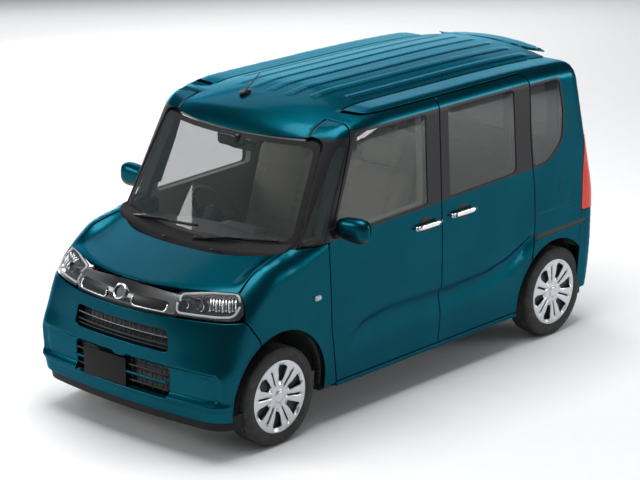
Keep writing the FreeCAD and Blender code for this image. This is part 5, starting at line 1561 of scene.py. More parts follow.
def gate_form(x, y, z):
    """The tailgate's face: a plate recess and a soft crease below the glass."""
    reach = np.hypot(np.maximum(np.abs(x) - 0.165, 0), np.maximum(np.abs(z - 0.862) - 0.075, 0)) - 0.045
    dent = 0.014 * smooth_step(0.008, -0.010, reach)
    ridge = 0.008 * np.exp(-((z - 1.050) / 0.030) ** 2)
    return cabin(x, y, z) + dent - ridge


def build_tail_lamps():
    """Tall red lamps wrapped round the rear corners, with a clear band low down."""
    form = sunk(cabin, -0.002)
    lamp = lay(form, SIDE, [(1.519, 0.756), (1.525, 0.980, 0.8), (1.561, 1.203)], False)
    inner_edge = lay(form, BACK, [(0.642, 1.204), (0.642, 0.752)], False)
    top = link(form, TAIL, lamp[-1], inner_edge[0])
    low = link(form, TAIL, inner_edge[-1], lamp[0])
    loop = chain(lamp, top[1:-1], inner_edge, low[1:-1])
    clear = lay(form, BACK, [(0.600, 0.842), (0.600, 0.905), (0.684, 0.905), (0.684, 0.842)])
    left = panel(
        "tail_lens", form, TAIL, [loop], ["red", "red_clear"], [(clear, 1)], 0.018, 0.004, 0.020,
    )
    right = mirror(left, "tail_right")
    inner = pushed_copy("tail_inner", ["tail_lamps"], cabin, ["red"], 0.018)
    add_piece(join("tail_lamp_pair", [left, right, inner]), "body", ["tail_lamps"])


# Glass


def build_glass():
    """Windscreen with its black border, and all the side panes."""
    form = sunk(screen_only, 0.004)
    inner_edge = [
        (0.620, 1.082, 0.05), (0.560, 1.545, 0.05), (0.300, 1.540), (0.0, 1.538), (-0.300, 1.540),
        (-0.560, 1.545, 0.05), (-0.620, 1.082, 0.05), (-0.40, 1.062, 0.6), (0.0, 1.052, 1.2),
        (0.40, 1.062, 0.6),
    ]
    clear = lay(form, FRONT, inner_edge)
    screen = patch(
        "windscreen_pane", form, FRONT, SCREEN, ["pillar", "screen_glass"], [(clear, 1)], 0.03, 0.001,
        0.005,
    )
    pod = soft_block("camera_pod", (0.0, -0.795, 1.520), (0.085, 0.040, 0.040), 0.02, ["black"], 24, 14)
    add_piece(join("windscreen_glass", [screen, pod]), "body", ["windscreen"])
    pane_form = sunk(cabin, 0.005)
    panes = {}
    for name, points, slot in (
        ("front_pane", FRONT_WINDOW, "glass"), ("slide_pane", SLIDE_WINDOW, "privacy"),
        ("quarter_pane", REAR_WINDOW, "privacy"), ("corner_pane", CORNER_WINDOW, "glass"),
    ):
        panes[name] = patch(name, pane_form, SIDE, points, [slot], (), 0.05, 0.0008, 0.004)
    right = {name: mirror(pane, name + "_right") for name, pane in panes.items()}
    add_pair(panes["front_pane"], right["front_pane"], "front_door", "front_glass")
    rest = [
        group[name] for group in (panes, right)
        for name in ("slide_pane", "quarter_pane", "corner_pane")
    ]
    add_piece(join("side_window_panes", rest), "body", ["side_windows"])


# Pieces on the sides


def side_point(y, z, out=0.0, form=None):
    return point_on(form or cabin, SIDE, y, z, out)


def build_handles():
    """Bar handles on two feet over round cups."""
    for centre_y, z, node in ((0.034, 0.976, "door_handle"), (0.353, 0.986, "sliding")):
        made = []
        ends = [side_point(centre_y - 0.115, z, 0.020), side_point(centre_y + 0.115, z + 0.004, 0.020)]
        centre = (ends[0] + ends[1]) / 2 + [0.002, 0, 0]
        grip = soft_block("grip", centre, (0.0085, 0.119, 0.0155), 0.0082, ["silver"], 56, 20)
        made.append(grip)
        for end in (-0.100, 0.100):
            a, b = side_point(centre_y + end, z, -0.006), side_point(centre_y + end, z, 0.018)
            made.append(tube("foot", [a, b], 0.012, ["silver"], sides=14))
        if centre_y > 0.2:
            made.append(lathe(
                "key_cap", [(0.0295, 0.0), (0.0295, 0.007), (0.027, 0.0085)],
                side_point(centre_y - 0.088, z, 0.0), ["black"], None, 20, "X",
            ))
        left = join("handle_left", made)
        right = mirror(left, "handle_right")
        if node == "door_handle":
            add_pair(left, right, "front_door", "door_handle")
        else:
            add_piece(
                join("sliding_door_handle_pair", [left, right]), "body",
                ["sliding_door_handles"],
            )


MIRROR_CENTRE = (0.841, -0.728, 1.138)


def mirror_shell(x, y, z):
    """A door mirror's housing, rounder and higher on its outer side."""
    c = MIRROR_CENTRE
    u, v, w = (x - c[0]) / 0.112, (y - c[1]) / 0.049, (z - c[2]) / (0.067 + 0.08 * (x - c[0]))
    back = np.where(v > 0, v * 1.25, v)
    return (np.abs(u) ** 3 + np.abs(back) ** 2.4 + np.abs(w) ** 3) ** 0.4 - 1


def build_mirrors():
    """Door mirrors: painted cap over a black lower half, glass behind, on a black foot."""
    shell = pebble(
        "mirror_cap", MIRROR_CENTRE, mirror_shell, ["paint", "black"], 64, 36,
        lambda m: np.where(m[:, 2] < 1.110 - 0.10 * (m[:, 0] - 0.841), 1, 0), 0.25,
    )
    outline = rounded([
        (0.752, 1.090, 0.030), (0.752, 1.184, 0.028), (0.930, 1.194, 0.040), (0.934, 1.088, 0.036),
    ])
    flat = np.stack([outline[:, 0], np.full(len(outline), -0.6870), outline[:, 1]], 1)
    middle = flat.mean(0)
    n = len(flat)
    glass = make(
        "mirror_glass", np.concatenate([flat, [middle]]), [(i, (i + 1) % n, n) for i in range(n)],
        ["mirror_glass"],
    )
    turn_outward(glass)
    foot = tube(
        "mirror_foot", [(0.700, -0.758, 1.078), (0.745, -0.748, 1.088), (0.785, -0.736, 1.102)],
        [0.026, 0.020, 0.018], ["black"], sides=16, flat=0.7,
    )
    base = soft_block(
        "mirror_base", (0.716, -0.752, 1.094), (0.016, 0.062, 0.040), 0.014, ["black"], 28, 16, 0.2,
        (0.722, -0.755, 1.092),
    )
    left = join("mirror_left_piece", [shell, glass, foot, base])
    right = mirror(left, "mirror_right_piece")
    add_pair(left, right, "front_door", "mirror")


def build_side_trim():
    """Handle cups, turn repeaters, sliding rails, the quarter's fine line and the fuel lid."""
    for centre_y, centre_z, body in ((0.018, 0.987, "front_door"), (0.365, 0.988, "body")):
        ring_form = sunk(cabin, -0.0012)
        outline = circle(centre_y, centre_z, 0.047, 40)
        cup = panel(
            "cup", ring_form, SIDE, [on_body(ring_form, SIDE, outline)], ["black"], (), 0.012, 0.002,
            0.004,
        )
        other = mirror(cup, "cup_right")
        for obj, side in ((cup, "left"), (other, "right")):
            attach(obj, "front_door_" + side if body == "front_door" else "body")
            obj.name = ("front" if body == "front_door" else "slide") + "_handle_cup_" + side
    pieces = []
    spot = side_point(-0.902, 0.771, 0.004, front)
    pieces.append(soft_block("repeater", spot, (0.010, 0.024, 0.014), 0.0098, ["glow"], 28, 16, 0.1))
    groove_form = sunk(cabin, -0.0006)
    groove = [
        (1.062, 0.650, 0.004), (1.062, 0.690, 0.004), (1.560, 0.694, 0.012), (1.552, 0.666, 0.008),
    ]
    pieces.append(patch("rail_groove", groove_form, SIDE, groove, ["black"], (), 0.03, 0.001, 0.003))
    pieces.append(bar(
        "rail_lip", cabin, SIDE, [(1.066, 0.654), (1.556, 0.668)], 0.004, ["paint"], sides=8,
    ))
    pieces.append(bar(
        "panel_line", sunk(cabin, 0.0012), SIDE, [(1.056, 0.818), (1.453, 0.808)], 0.0016, ["black"],
        sides=6,
    ))
    left = join("side_trim_left", pieces)
    right = mirror(left, "side_trim_right")
    for obj in (left, right):
        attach(obj, "body")
    lid_form = sunk(cabin, -0.0004)
    lid = panel(
        "fuel_lid_skin", lid_form, SIDE, [on_body(lid_form, SIDE, circle(1.358, 0.920, 0.081, 64))],
        ["paint"], (), 0.02, 0.003, 0.008,
    )
    line = on_body(sunk(cabin, 0.0005), SIDE, circle(1.358, 0.920, 0.0835, 64))
    inner = pushed_copy("fuel_lid_inner", ["fuel_lid"], cabin, ["paint"], 0.004)
    add_piece(join("fuel_lid_panel", [lid, inner]), "fuel_lid", ["fuel_lid"])
    ring = tube("fuel_lid_gap", line, 0.0018, ["black"], True, 6)
    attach(ring, "body")


def build_cowl():
    """Black cowl, the wipers with their blades, and the washer nozzles."""
    rows = []
    xs = np.linspace(-0.640, 0.640, 49)
    profile = (
        (0.000, 0.052), (-0.010, 0.046), (-0.030, 0.034), (-0.052, 0.024), (-0.075, 0.012),
        (-0.085, -0.020),
    )
    for x in xs:
        y0, z0 = -1.141 + 0.29 * x * x + 0.60 * 0.012, 1.008 + 0.085 * x * x
        rows.append([(x, y0 + dy + 0.012, z0 + dz - 0.020) for dy, dz in profile])
    m = len(profile)
    verts = [p for row in rows for p in row]
    faces = [
        (i * m + k, (i + 1) * m + k, (i + 1) * m + k + 1, i * m + k + 1) for i in range(len(xs) - 1)
        for k in range(m - 1)
    ]
    tray = make("cowl_tray", verts, faces, ["trim"])
    turn_outward(tray)
    inner = pushed_copy("cowl_inner", ["cowl_panel"], cabin, ["trim"], 0.020)
    add_piece(join("cowl_cover", [tray, inner]), "body", ["cowl_panel"])
    parts = []
    for base_x, tip_x, base_z in ((-0.520, 0.030, 1.020), (0.055, 0.560, 1.016)):
        root = point_on(screen_only, FRONT, base_x, base_z, 0.018)
        knee = point_on(screen_only, FRONT, base_x + (tip_x - base_x) * 0.45, base_z + 0.040, 0.026)
        end = point_on(screen_only, FRONT, base_x + (tip_x - base_x) * 0.58, base_z + 0.046, 0.014)
        parts.append(tube(
            "wiper_arm", [root, (root * 0.55 + knee * 0.45) + [0, -0.004, 0.004], knee, end],
            [0.012, 0.009, 0.006, 0.004], ["black"], sides=10,
        ))
        blade = [
            point_on(
                screen_only, FRONT, base_x + (tip_x - base_x) * t, base_z + 0.022 + 0.040 * t, 0.009,
            )
            for t in np.linspace(0.16, 1.0, 14)
        ]
        parts.append(tube("wiper_blade", blade, 0.0052, ["black"], sides=8, flat=1.4))
        parts.append(lathe(
            "wiper_cap", [(0.014, 0.0), (0.014, 0.012), (0.006, 0.017), (-0.030, 0.018)], root,
            ["black"], None, 20, "Z",
        ))
    for x in (-0.130, 0.245):
        spot = point_on(front, TOP, x, -1.205) + [0, 0, 0.003]
        parts.append(soft_block("nozzle", spot, (0.014, 0.010, 0.006), 0.005, ["black"], 18, 10, 0.1))
    add_piece(join("wiper_pair", parts), "body", ["wipers"])


def build_aerial():
    """A black foot and a thin raked rod near the front of the roof."""
    foot_at = point_on(roof_beaded, TOP, -0.118, -0.560)

    def foot_form(x, y, z):
        u, v, w = (x - foot_at[0]) / 0.024, (
            y - foot_at[1] - 0.004
        ) / 0.046, (z - foot_at[2] - 0.002) / 0.024
        return np.sqrt(u ** 2 + v ** 2 + w ** 2) - 1

    foot = pebble("aerial_foot", foot_at + [0, 0.004, 0.004], foot_form, ["black"], 28, 16, None, 0.2)
    base = foot_at + [0, 0.004, 0.018]
    rake = math.radians(34)
    tip = base + [0.0, 0.140 * math.cos(rake), 0.140 * math.sin(rake)]
    rod = tube(
        "aerial_rod", [base, base * 0.8 + tip * 0.2, tip], [0.0045, 0.0036, 0.0028], ["black"],
        sides=10,
    )
    add_piece(join("roof_aerial", [foot, rod]), "body", ["aerial"])


# Wheels and tyres


class Disc:
    """Rays outwards along X round a wheel's centre; the chart is (y, z) from the centre."""

    def __init__(self, x, y, z):
        self.centre = np.array([x, y, z], float)

    def flat(self, p):
        return p[:, 1:] - self.centre[1:]

    def ray(self, q):
        origin = np.stack(
            [
                np.full(len(q), self.centre[0] - 0.05), q[:, 0] + self.centre[1],
                q[:, 1] + self.centre[2],
            ],
            1,
        )
        return origin, np.tile([1.0, 0.0, 0.0], (len(q), 1))


def cover_height(r, a):
    """How far the wheel cover stands out at a radius and angle."""
    dome = np.interp(
        r, [0.0, 0.030, 0.036, 0.060, 0.110, 0.165, 0.190, 0.203],
        [0.072, 0.072, 0.065, 0.066, 0.071, 0.074, 0.0745, 0.0725],
    )
    part = (a / (math.pi / 3)) % 1.0 - 0.5
    groove = np.exp(-((part * (math.pi / 3) * r) / 0.0048) ** 2)
    groove = groove * smooth_step(0.050, 0.066, r) * smooth_step(0.184, 0.172, r)
    flank = smooth_step(0.30, 0.42, np.abs(part))
    flank = flank * smooth_step(0.062, 0.085, r) * smooth_step(0.194, 0.178, r)
    return dome - 0.007 * groove - 0.010 * flank


def polar(radius, degrees):
    a = math.radians(degrees)
    return (radius * math.cos(a), radius * math.sin(a))


def wheel_cover(centre, turn):
    """The silver cover: six twin spokes, a groove in each, and six dark windows between."""
    cx, cy, cz = centre
    chart = Disc(cx, cy, cz)

    def form(x, y, z):
        r = np.hypot(y - cy, z - cz)
        a = np.arctan2(z - cz, y - cy) - math.radians(turn)
        return x - (cx + cover_height(r, a))

    loops = [on_body(form, chart, circle(0.0, 0.0, settings().wheels.cover_radius, 96))]
    for k in range(6):
        middle = turn + 60 * k
        points = [
            polar(0.088, middle - 8.0) + (0.005,), polar(0.172, middle - 13.0) + (0.012,),
            polar(0.180, middle) + (0.05,), polar(0.172, middle + 13.0) + (0.012,),
            polar(0.088, middle + 8.0) + (0.005,),
        ]
        loops.append(on_body(form, chart, rounded(points, 0.009)))
        along = turn + 30 + 60 * k
        side = math.degrees(0.0026 / 0.11)
        inner, outer = 0.072, 0.164
        points = [
            polar(inner, along - 2.0) + (0.001,), polar(outer, along - side * 1.1) + (0.002,),
            polar(outer, along + side * 1.1) + (0.002,), polar(inner, along + 2.0) + (0.001,),
        ]
        loops.append(on_body(form, chart, rounded(points, 0.012)))
    return panel("wheel_cover", form, chart, loops, ["wheel"], (), 0.0095, 0.002, 0.010)


def build_wheels():
    """Rims with their covers, hubs and tyres; the tread's lugs are repeated round each tyre."""
    for end, track, axle in (("front", TRACK_FRONT, AXLE_FRONT), ("rear", TRACK_REAR, AXLE_REAR)):
        centre = (track, axle, AXLE_HEIGHT)
        cover = wheel_cover(centre, 22.0 if end == "front" else 8.0)
        barrel = [
            (0.048, 0.0), (0.048, 0.172), (0.056, 0.178), (0.064, 0.184), (0.066, 0.191),
            (0.062, 0.1925), (0.056, 0.184), (0.045, 0.180),
            (0.020, 0.168), (-0.030, 0.166), (-0.052, 0.179), (-0.062, 0.183), (-0.065, 0.191),
            (-0.062, 0.1925), (-0.056, 0.178), (-0.026, 0.160), (0.012, 0.160), (0.018, 0.060),
            (0.018, 0.0),
        ]
        rim = lathe("rim", barrel, centre, ["wheel_dark", "steel"], [0] * 2 + [1] * 16, 72)
        drum = lathe(
            "drum", [(0.010, 0.0), (0.010, 0.095), (-0.028, 0.100), (-0.034, 0.098), (-0.034, 0.0)],
            centre, ["steel"], None, 40,
        )
        left = join("wheel_%s_piece_left" % end, [cover, rim, drum])
        right = mirror(left, "wheel_%s_piece_right" % end)
        add_pair(left, right, "wheel_" + end, "wheel_" + end)
        tyre = build_tyre(centre)
        other = mirror(tyre, "tyre_%s_piece_right" % end)
        tyre.name = "tyre_%s_piece_left" % end
        add_pair(tyre, other, "wheel_" + end, "tyre_" + end)


# A shoulder lug: half its width in radians, its height over the tread and its depth below
LUG_TURN = 0.0135
LUG_RISE = 0.0022
LUG_ROOT = 0.006


def build_tyre(centre):
    """A road tyre: rounded walls, three grooves and shoulder lugs repeated round it."""
    half = [
        (0.0640, 0.1790), (0.0655, 0.1900), (0.0700, 0.2010), (0.0750, 0.2140), (0.0775, 0.2300),
        (0.0768, 0.2460), (0.0735, 0.2590), (0.0705, 0.2635), (0.0690, 0.2690), (0.0640, 0.2738),
        (0.0560, 0.2763), (0.0400, 0.2772), (0.0385, 0.2710), (0.0315, 0.2710), (0.0300, 0.2776),
        (0.0045, 0.2780), (0.0035, 0.2712),
    ]
    profile = half + [(-s, r) for s, r in reversed(half)]
    inside_line = [
        (-0.0610, 0.1800), (-0.0690, 0.2150), (-0.0700, 0.2400), (-0.0600, 0.2600), (0.0, 0.2650),
        (0.0600, 0.2600), (0.0700, 0.2400), (0.0690, 0.2150), (0.0610, 0.1800),
    ]
    body = lathe(
        "tyre_body", profile + inside_line + [profile[0]], centre, ["tyre"], None, 96, "X", 40.0,
    )
    lug = np.array([(0.050, 0.2750), (0.0640, 0.2725), (0.0712, 0.2650), (0.0735, 0.2560)])
    verts, faces = [], []
    for angle in (-LUG_TURN, LUG_TURN):
        for s, r in lug:
            verts.append((s, (r + LUG_RISE) * math.sin(angle), (r + LUG_RISE) * math.cos(angle)))
        for s, r in lug:
            verts.append((s, (r - LUG_ROOT) * math.sin(angle), (r - LUG_ROOT) * math.cos(angle)))
    n = len(lug)
    for i in range(n - 1):
        faces.append((i, i + 1, 2 * n + i + 1, 2 * n + i))
        faces.append((i, n + i, n + i + 1, i + 1))
        faces.append((2 * n + i, 2 * n + i + 1, 3 * n + i + 1, 3 * n + i))
    faces.append((0, 2 * n, 3 * n, n))
    faces.append((n - 1, 2 * n - 1, 4 * n - 1, 3 * n - 1))
    block_mesh = make("lug", verts, faces, ["tyre"], smooth=False)
    turn_outward(block_mesh)
    lugs = [
        repeat_round(block_mesh, settings().wheels.lugs, "tyre", Vector(centre), sign)
        for sign in (1, -1)
    ]
    bpy.data.objects.remove(block_mesh)
    return join("tyre", [body] + lugs)


def repeat_round(source, count, slot, centre, sign):
    """Instances of a piece round the X axis, made real and moved to a centre."""
    tree = bpy.data.node_groups.new("repeat_round", "GeometryNodeTree")
    face = tree.interface
    face.new_socket("Geometry", in_out="INPUT", socket_type="NodeSocketGeometry")
    number = face.new_socket("Count", in_out="INPUT", socket_type="NodeSocketInt")
    shift = face.new_socket("Phase", in_out="INPUT", socket_type="NodeSocketFloat")
    face.new_socket("Geometry", in_out="OUTPUT", socket_type="NodeSocketGeometry")

    def add(kind, operation=None, **inputs):
        node = tree.nodes.new(kind)
        if operation:
            node.operation = operation
        for key, item in inputs.items():
            spot = node.inputs[int(key[1:])] if key[1:].isdigit() else node.inputs[key]
            if isinstance(item, bpy.types.NodeSocket):
                tree.links.new(item, spot)
            else:
                spot.default_value = item
        return node.outputs

    enter = add("NodeGroupInput")
    points = add("GeometryNodePoints", Count=enter["Count"])
    index = add("GeometryNodeInputIndex")
    turn = add("ShaderNodeMath", "DIVIDE", i0=2 * math.pi, i1=enter["Count"])
    angle = add("ShaderNodeMath", "MULTIPLY_ADD", i0=index[0], i1=turn[0], i2=enter["Phase"])
    rotation = add("ShaderNodeCombineXYZ", X=angle[0])
    copies = add(
        "GeometryNodeInstanceOnPoints", Points=points[0], Instance=enter["Geometry"],
        Rotation=rotation[0],
    )
    real = add("GeometryNodeRealizeInstances", Geometry=copies[0])
    painted = add("GeometryNodeSetMaterial", Geometry=real[0], Material=material(slot))
    add("NodeGroupOutput", Geometry=painted[0])
    modifier = source.modifiers.new("repeat", "NODES")
    modifier.node_group = tree
    modifier[number.identifier] = count
    modifier[shift.identifier] = 0.0 if sign > 0 else math.pi / count
    view = bpy.context.evaluated_depsgraph_get()
    mesh = bpy.data.meshes.new_from_object(source.evaluated_get(view), depsgraph=view)
    source.modifiers.remove(modifier)
    if sign < 0:
        mesh.transform(Matrix.Scale(-1, 4, (1, 0, 0)))
        mesh.flip_normals()
    mesh.transform(Matrix.Translation(centre))
    obj = bpy.data.objects.new("repeated", mesh)
    bpy.context.scene.collection.objects.link(obj)
    return obj


# Cabin


def cushion_form(centre, half, radius, crown=0.0, seams=(), tilt=0.0):
    """A padded block: crowned faces, round edges and stitched seams across it."""
    c, s = math.cos(tilt), math.sin(tilt)

    def form(x, y, z):
        dx, dy, dz = x - centre[0], y - centre[1], z - centre[2]
        v, w = dy * c + dz * s, -dy * s + dz * c
        u = dx
        wide = np.clip(1 - (u / half[0]) ** 2, 0, 1)
        long = np.clip(1 - (w / half[2]) ** 2, 0, 1)
        deep = np.clip(1 - (v / half[1]) ** 2, 0, 1)
        swell = crown * (wide * long if half[1] < half[2] else wide * deep)
        shape = rounded_box((0, 0, 0), half, radius, u, v, w) - swell
        for at, axis in seams:
            p = u if axis == "x" else (w if axis == "z" else v)
            shape = shape + 0.006 * np.exp(-((np.abs(p) - at) / 0.006) ** 2)
        return shape

    return form


def pad(name, centre, half, radius, slots, crown=0.012, seams=(), tilt=0.0, across=72, rows=44):
    form = cushion_form(centre, half, radius, crown, seams, tilt)
    return pebble(name, centre, form, slots, across, rows, None, 1.2)


# How far the seat backs lean back, in radians
LEAN = -0.30


# Seats: kind, middle of each half, and its cushions (name, place, half size, edge radius, crown,
# seams, lean, fineness of the mesh)
SEATS = [
    ("front_", 0.335, [
        ("cushion", (-0.335, 0.655), (0.262, 0.262, 0.078), 0.060, 0.016, ((0.150, "x"),), 0.05),
        (
            "back", (0.005, 0.965), (0.240, 0.058, 0.292), 0.052, 0.014, ((0.145, "x"), (0.150, "z")),
            LEAN,
        ),
        ("rest", (0.098, 1.330), (0.125, 0.040, 0.078), 0.038, 0.008, (), LEAN, 48, 30),
    ]),
    ("rear_", 0.285, [
        ("cushion", (0.520, 0.650), (0.283, 0.260, 0.075), 0.055, 0.014, ((0.160, "x"),), 0.05),
        (
            "back", (0.835, 0.945), (0.283, 0.058, 0.272), 0.050, 0.012, ((0.160, "x"), (0.130, "z")),
            LEAN,
        ),
        ("rest", (0.915, 1.290), (0.120, 0.036, 0.062), 0.034, 0.006, (), LEAN, 48, 30),
    ]),
]


def build_seats():
    """Front bench-style seats and the rear bench, each cushion its own padded piece."""
    made = []
    for kind, aside, parts in SEATS:
        for sign in (-1, 1):
            for name, place, half, radius, crown, seams, tilt, *detail in parts:
                centre = (sign * aside,) + place
                made.append(pad(
                    kind + name, centre, half, radius, ["beige"], crown, seams, tilt, *detail,
                ))
    posts = []
    for sign in (-1, 1):
        for x_mid, y, z_low, z_high in ((0.335, 0.092, 1.20, 1.30), (0.285, 0.912, 1.17, 1.26)):
            for dx in (-0.055, 0.055):
                posts.append(tube(
                    "post",
                    [(sign * x_mid + dx, y - 0.025, z_low), (sign * x_mid + dx, y + 0.002, z_high)],
                    0.006, ["silver"], sides=8,
                ))
    base = []
    for sign in (-1, 1):
        base.append(block(
            "seat_box", (sign * 0.335 - 0.20, -0.52, 0.345), (sign * 0.335 + 0.20, -0.10, 0.590),
            ["seat_side"], 0.02,
        ))
    base.append(block("rear_seat_box", (-0.52, 0.33, 0.345), (0.52, 0.74, 0.590), ["seat_side"], 0.02))
    arm = soft_block(
        "arm_rest", (0.0, -0.150, 0.735), (0.055, 0.165, 0.045), 0.03, ["seat_side"], 32, 18,
    )
    frame_piece = join("seat_frames", posts + base + [arm])
    for i, obj in enumerate(made):
        obj.name = obj.data.name = "%s_%d" % (obj.name.split(".")[0], i)
        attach(obj, "body")
    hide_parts("front_seats")
    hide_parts("rear_seat")
    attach(frame_piece, "body")


def build_dashboard():
    """Dashboard with its hood, vents, screen, tray lines and column cover, and the inner mirror."""
    def top_form(x, y, z):
        front_edge = -1.02 + 0.28 * x * x
        crest = 0.985 + 0.018 * np.cos(x * 4.0) - 0.9 * np.maximum(y + 0.80, 0) ** 2 * 3
        shape = smooth_max(
            z - crest, y + 0.690 - 0.05 * np.cos(x * 3.0) + 0.22 * np.maximum(0.80 - z, 0), 0.07,
        )
        shape = smooth_max(shape, np.abs(x) - 0.636, 0.03)
        shape = smooth_max(shape, 0.655 + 0.35 * np.maximum(-0.80 - y, 0) - z, 0.04)
        return smooth_max(shape, front_edge - y + 0.02, 0.03)

    dash = pebble(
        "dash_body", (0.0, -0.830, 0.830), top_form, ["dash", "dash_light"], 120, 56,
        lambda m: np.where((m[:, 2] < 0.870) & (m[:, 1] > -0.80), 1, 0), 1.5,
    )
    parts = [dash]
    parts.append(block(
        "centre_screen", (-0.105, -0.700, 0.880), (0.105, -0.682, 0.985), ["black"], 0.006,
    ))
    parts.append(block(
        "centre_stack", (-0.095, -0.705, 0.700), (0.095, -0.676, 0.865), ["black"], 0.008,
    ))
    hood = soft_block(
        "instrument_hood", (0.05, -0.770, 0.990), (0.150, 0.060, 0.026), 0.022, ["dash"], 40, 20,
        eye=(0.05, -0.760, 0.990),
    )
    parts.append(hood)
    for x in (-0.560, -0.180, 0.180, 0.560):
        parts.append(lathe(
            "vent", [(0.000, 0.0), (0.002, 0.020), (-0.006, 0.036), (-0.004, 0.042), (0.012, 0.043)],
            (x, -0.692, 0.905), ["black"], None, 28, "Y",
        ))
    for z in (0.845, 0.730):
        parts.append(tube(
            "tray_line", [(0.20, -0.672, z), (0.56, -0.672, z)], 0.004, ["black"], sides=8,
        ))
    parts.append(tube(
        "column_cover", [(-0.350, -0.6405, 0.932), (-0.350, -0.720, 0.890), (-0.350, -0.800, 0.847)],
        [0.040, 0.046, 0.050], ["dash"], sides=24,
    ))
    add_piece(join("dashboard_piece", parts), "body", ["dashboard"])
    rest_mirror = soft_block(
        "inner_mirror", (0.0, -0.720, 1.470), (0.120, 0.014, 0.030), 0.013, ["black"], 36, 16,
    )
    stalk = tube(
        "mirror_stalk", [(0.0, -0.715, 1.480), (0.0, -0.735, 1.560)], 0.006, ["black"], sides=8,
    )
    both = join("inner_mirror_piece", [rest_mirror, stalk])
    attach(both, "body")


def build_steering_wheel():
    """A three-spoke wheel with a round padded hub, on the right-hand side."""
    tilt = math.radians(28)
    centre = Vector((-0.350, -0.560, 0.975))
    turn = Matrix.Rotation(tilt - math.radians(90), 4, "X")

    def put(points):
        return [centre + (turn @ Vector(p)) for p in points]

    facing = turn @ Vector((0, 0, 1))
    a = np.arange(72) * 2 * math.pi / 72
    rim = tube(
        "rim", put([(0.178 * math.cos(t), 0.178 * math.sin(t), 0.0) for t in a]), 0.0135, ["dash"],
        True, 14, 1.0, up=facing,
    )
    spokes = []
    for degrees in (0, 180, 90):
        path = put([
            polar(0.045, degrees) + (-0.022,), polar(0.110, degrees) + (-0.014,),
            polar(0.174, degrees) + (0.0,),
        ])
        spokes.append(tube(
            "spoke", path, [0.022, 0.016, 0.012], ["dash"], sides=12, flat=0.5, up=facing,
        ))
    hub = lathe(
        "hub",
        [
            (0.006, 0.0), (0.004, 0.035), (-0.006, 0.056), (-0.030, 0.064), (-0.060, 0.050),
            (-0.084, 0.036), (-0.084, 0.0),
        ],
        (0, 0, 0), ["dash"], None, 40, "Z", 50,
    )
    hub.data.transform(Matrix.Translation(centre) @ turn)
    add_piece(
        join("steering_wheel_piece", [rim, hub] + spokes), "steering_wheel",
        ["steering_wheel"],
    )


# The fixed frame's own nodes and the studio

FRAME_FINISHES = {
    "paint": "paint", "underbody": "underbody", "black_trim": "black", "grille_trim": "grille",
    "lamp_clear": "reflector", "lamp_red": "red", "glass": "glass", "privacy_glass": "privacy",
    "handle_silver": "silver", "dash_plastic": "dash", "seat_fabric": "beige", "engine_metal": "engine",
    "chassis_steel": "steel", "exhaust_steel": "exhaust", "wheel_silver": "wheel", "tyre": "tyre",
}

# Softboxes: place, brightness, width and height in metres
STUDIO = [
    ((0.0, -0.5, 7.5), 6.0, 5.0, 6.0),
    ((-8.0, 7.0, 3.4), 1.9, 10.0, 4.2),
    ((-8.4, 2.9, 2.8), 5.5, 3.2, 2.4),
    ((-6.6, 4.0, 6.9), 1.6, 4.8, 3.2),
    ((-6.0, -7.0, 4.0), 7.0, 4.0, 2.6),
    ((7.0, 7.5, 2.4), 9.0, 5.0, 1.6),
]
LOOK_AT = (0.0, 0.0, 0.8)
CAMERA_PLACE = (9.045, -10.137, 4.852)
CAMERA_TURN = (73.19, 0.0, 41.91)
FLOOR_REACH = 40.0


def settings():
    """The values of the sidebar panel."""
    return bpy.context.scene.kei_car


def finish_frame():
    """The pan, axles, knuckles, engine and exhaust keep their solids and get their finishes."""
    kinds = {part["node"]: part["material_slot"] for part in frame["record"]["subparts"]}
    for node, obj in frame["nodes"].items():
        for place in obj.material_slots:
            place.link = "OBJECT"
            place.material = material(FRAME_FINISHES[kinds[node]])


def build_floor():
    """A plain pale floor that isn't part of the car."""
    r = FLOOR_REACH
    floor = make(
        "floor", [(-r, -r, 0), (r, -r, 0), (r, r, 0), (-r, r, 0)], [(0, 1, 2, 3)], ["backdrop"],
        smooth=False,
    )


def build_camera():
    data = bpy.data.cameras.new("camera")
    data.lens = settings().studio.lens
    data.clip_end = 100
    camera = bpy.data.objects.new("camera", data)
    camera.location = CAMERA_PLACE
    camera.rotation_euler = Euler([math.radians(a) for a in CAMERA_TURN])
    bpy.context.scene.collection.objects.link(camera)
    bpy.context.scene.camera = camera


def build_lights():
    world = bpy.data.worlds.new("studio")
    world.use_nodes = True
    sky = world.node_tree.nodes["Background"]
    sky.inputs["Color"].default_value = (0.93, 0.96, 1.0, 1)
    sky.inputs["Strength"].default_value = settings().studio.fill
    bpy.context.scene.world = world
    bpy.context.scene.view_settings.view_transform = "Standard"
    aim = Vector(LOOK_AT)
    for place, brightness, wide, high in STUDIO:
        light = bpy.data.lights.new("softbox", "AREA")
        light.shape = "RECTANGLE"
        light.size, light.size_y = wide, high
        light.energy = settings().studio.light * brightness * math.pi * wide * high
        lamp = bpy.data.objects.new("softbox", light)
        lamp.location = place
        lamp.rotation_euler = (aim - Vector(place)).to_track_quat("-Z", "Y").to_euler()
        lamp.visible_camera = False
        bpy.context.scene.collection.objects.link(lamp)


# The add-on: settings, one operator for each group of pieces, and a panel


class PaintSettings(bpy.types.PropertyGroup):
    """Colours of the body's paint."""

    colour: bpy.props.FloatVectorProperty(
        name="Paint", description="Colour of the flakes that face the light",
        subtype="COLOR", size=3, min=0.0, max=1.0, default=(0.0008, 0.125, 0.160),
    )
    deep: bpy.props.FloatVectorProperty(
        name="Shade", description="Colour of the flakes that lie away from the light",
        subtype="COLOR", size=3, min=0.0, max=1.0, default=(0.0003, 0.024, 0.044),
    )
    coat: bpy.props.FloatProperty(
        name="Clear coat", description="Strength of the clear coat",
        subtype="FACTOR", min=0.0, max=1.0, default=0.10,
    )


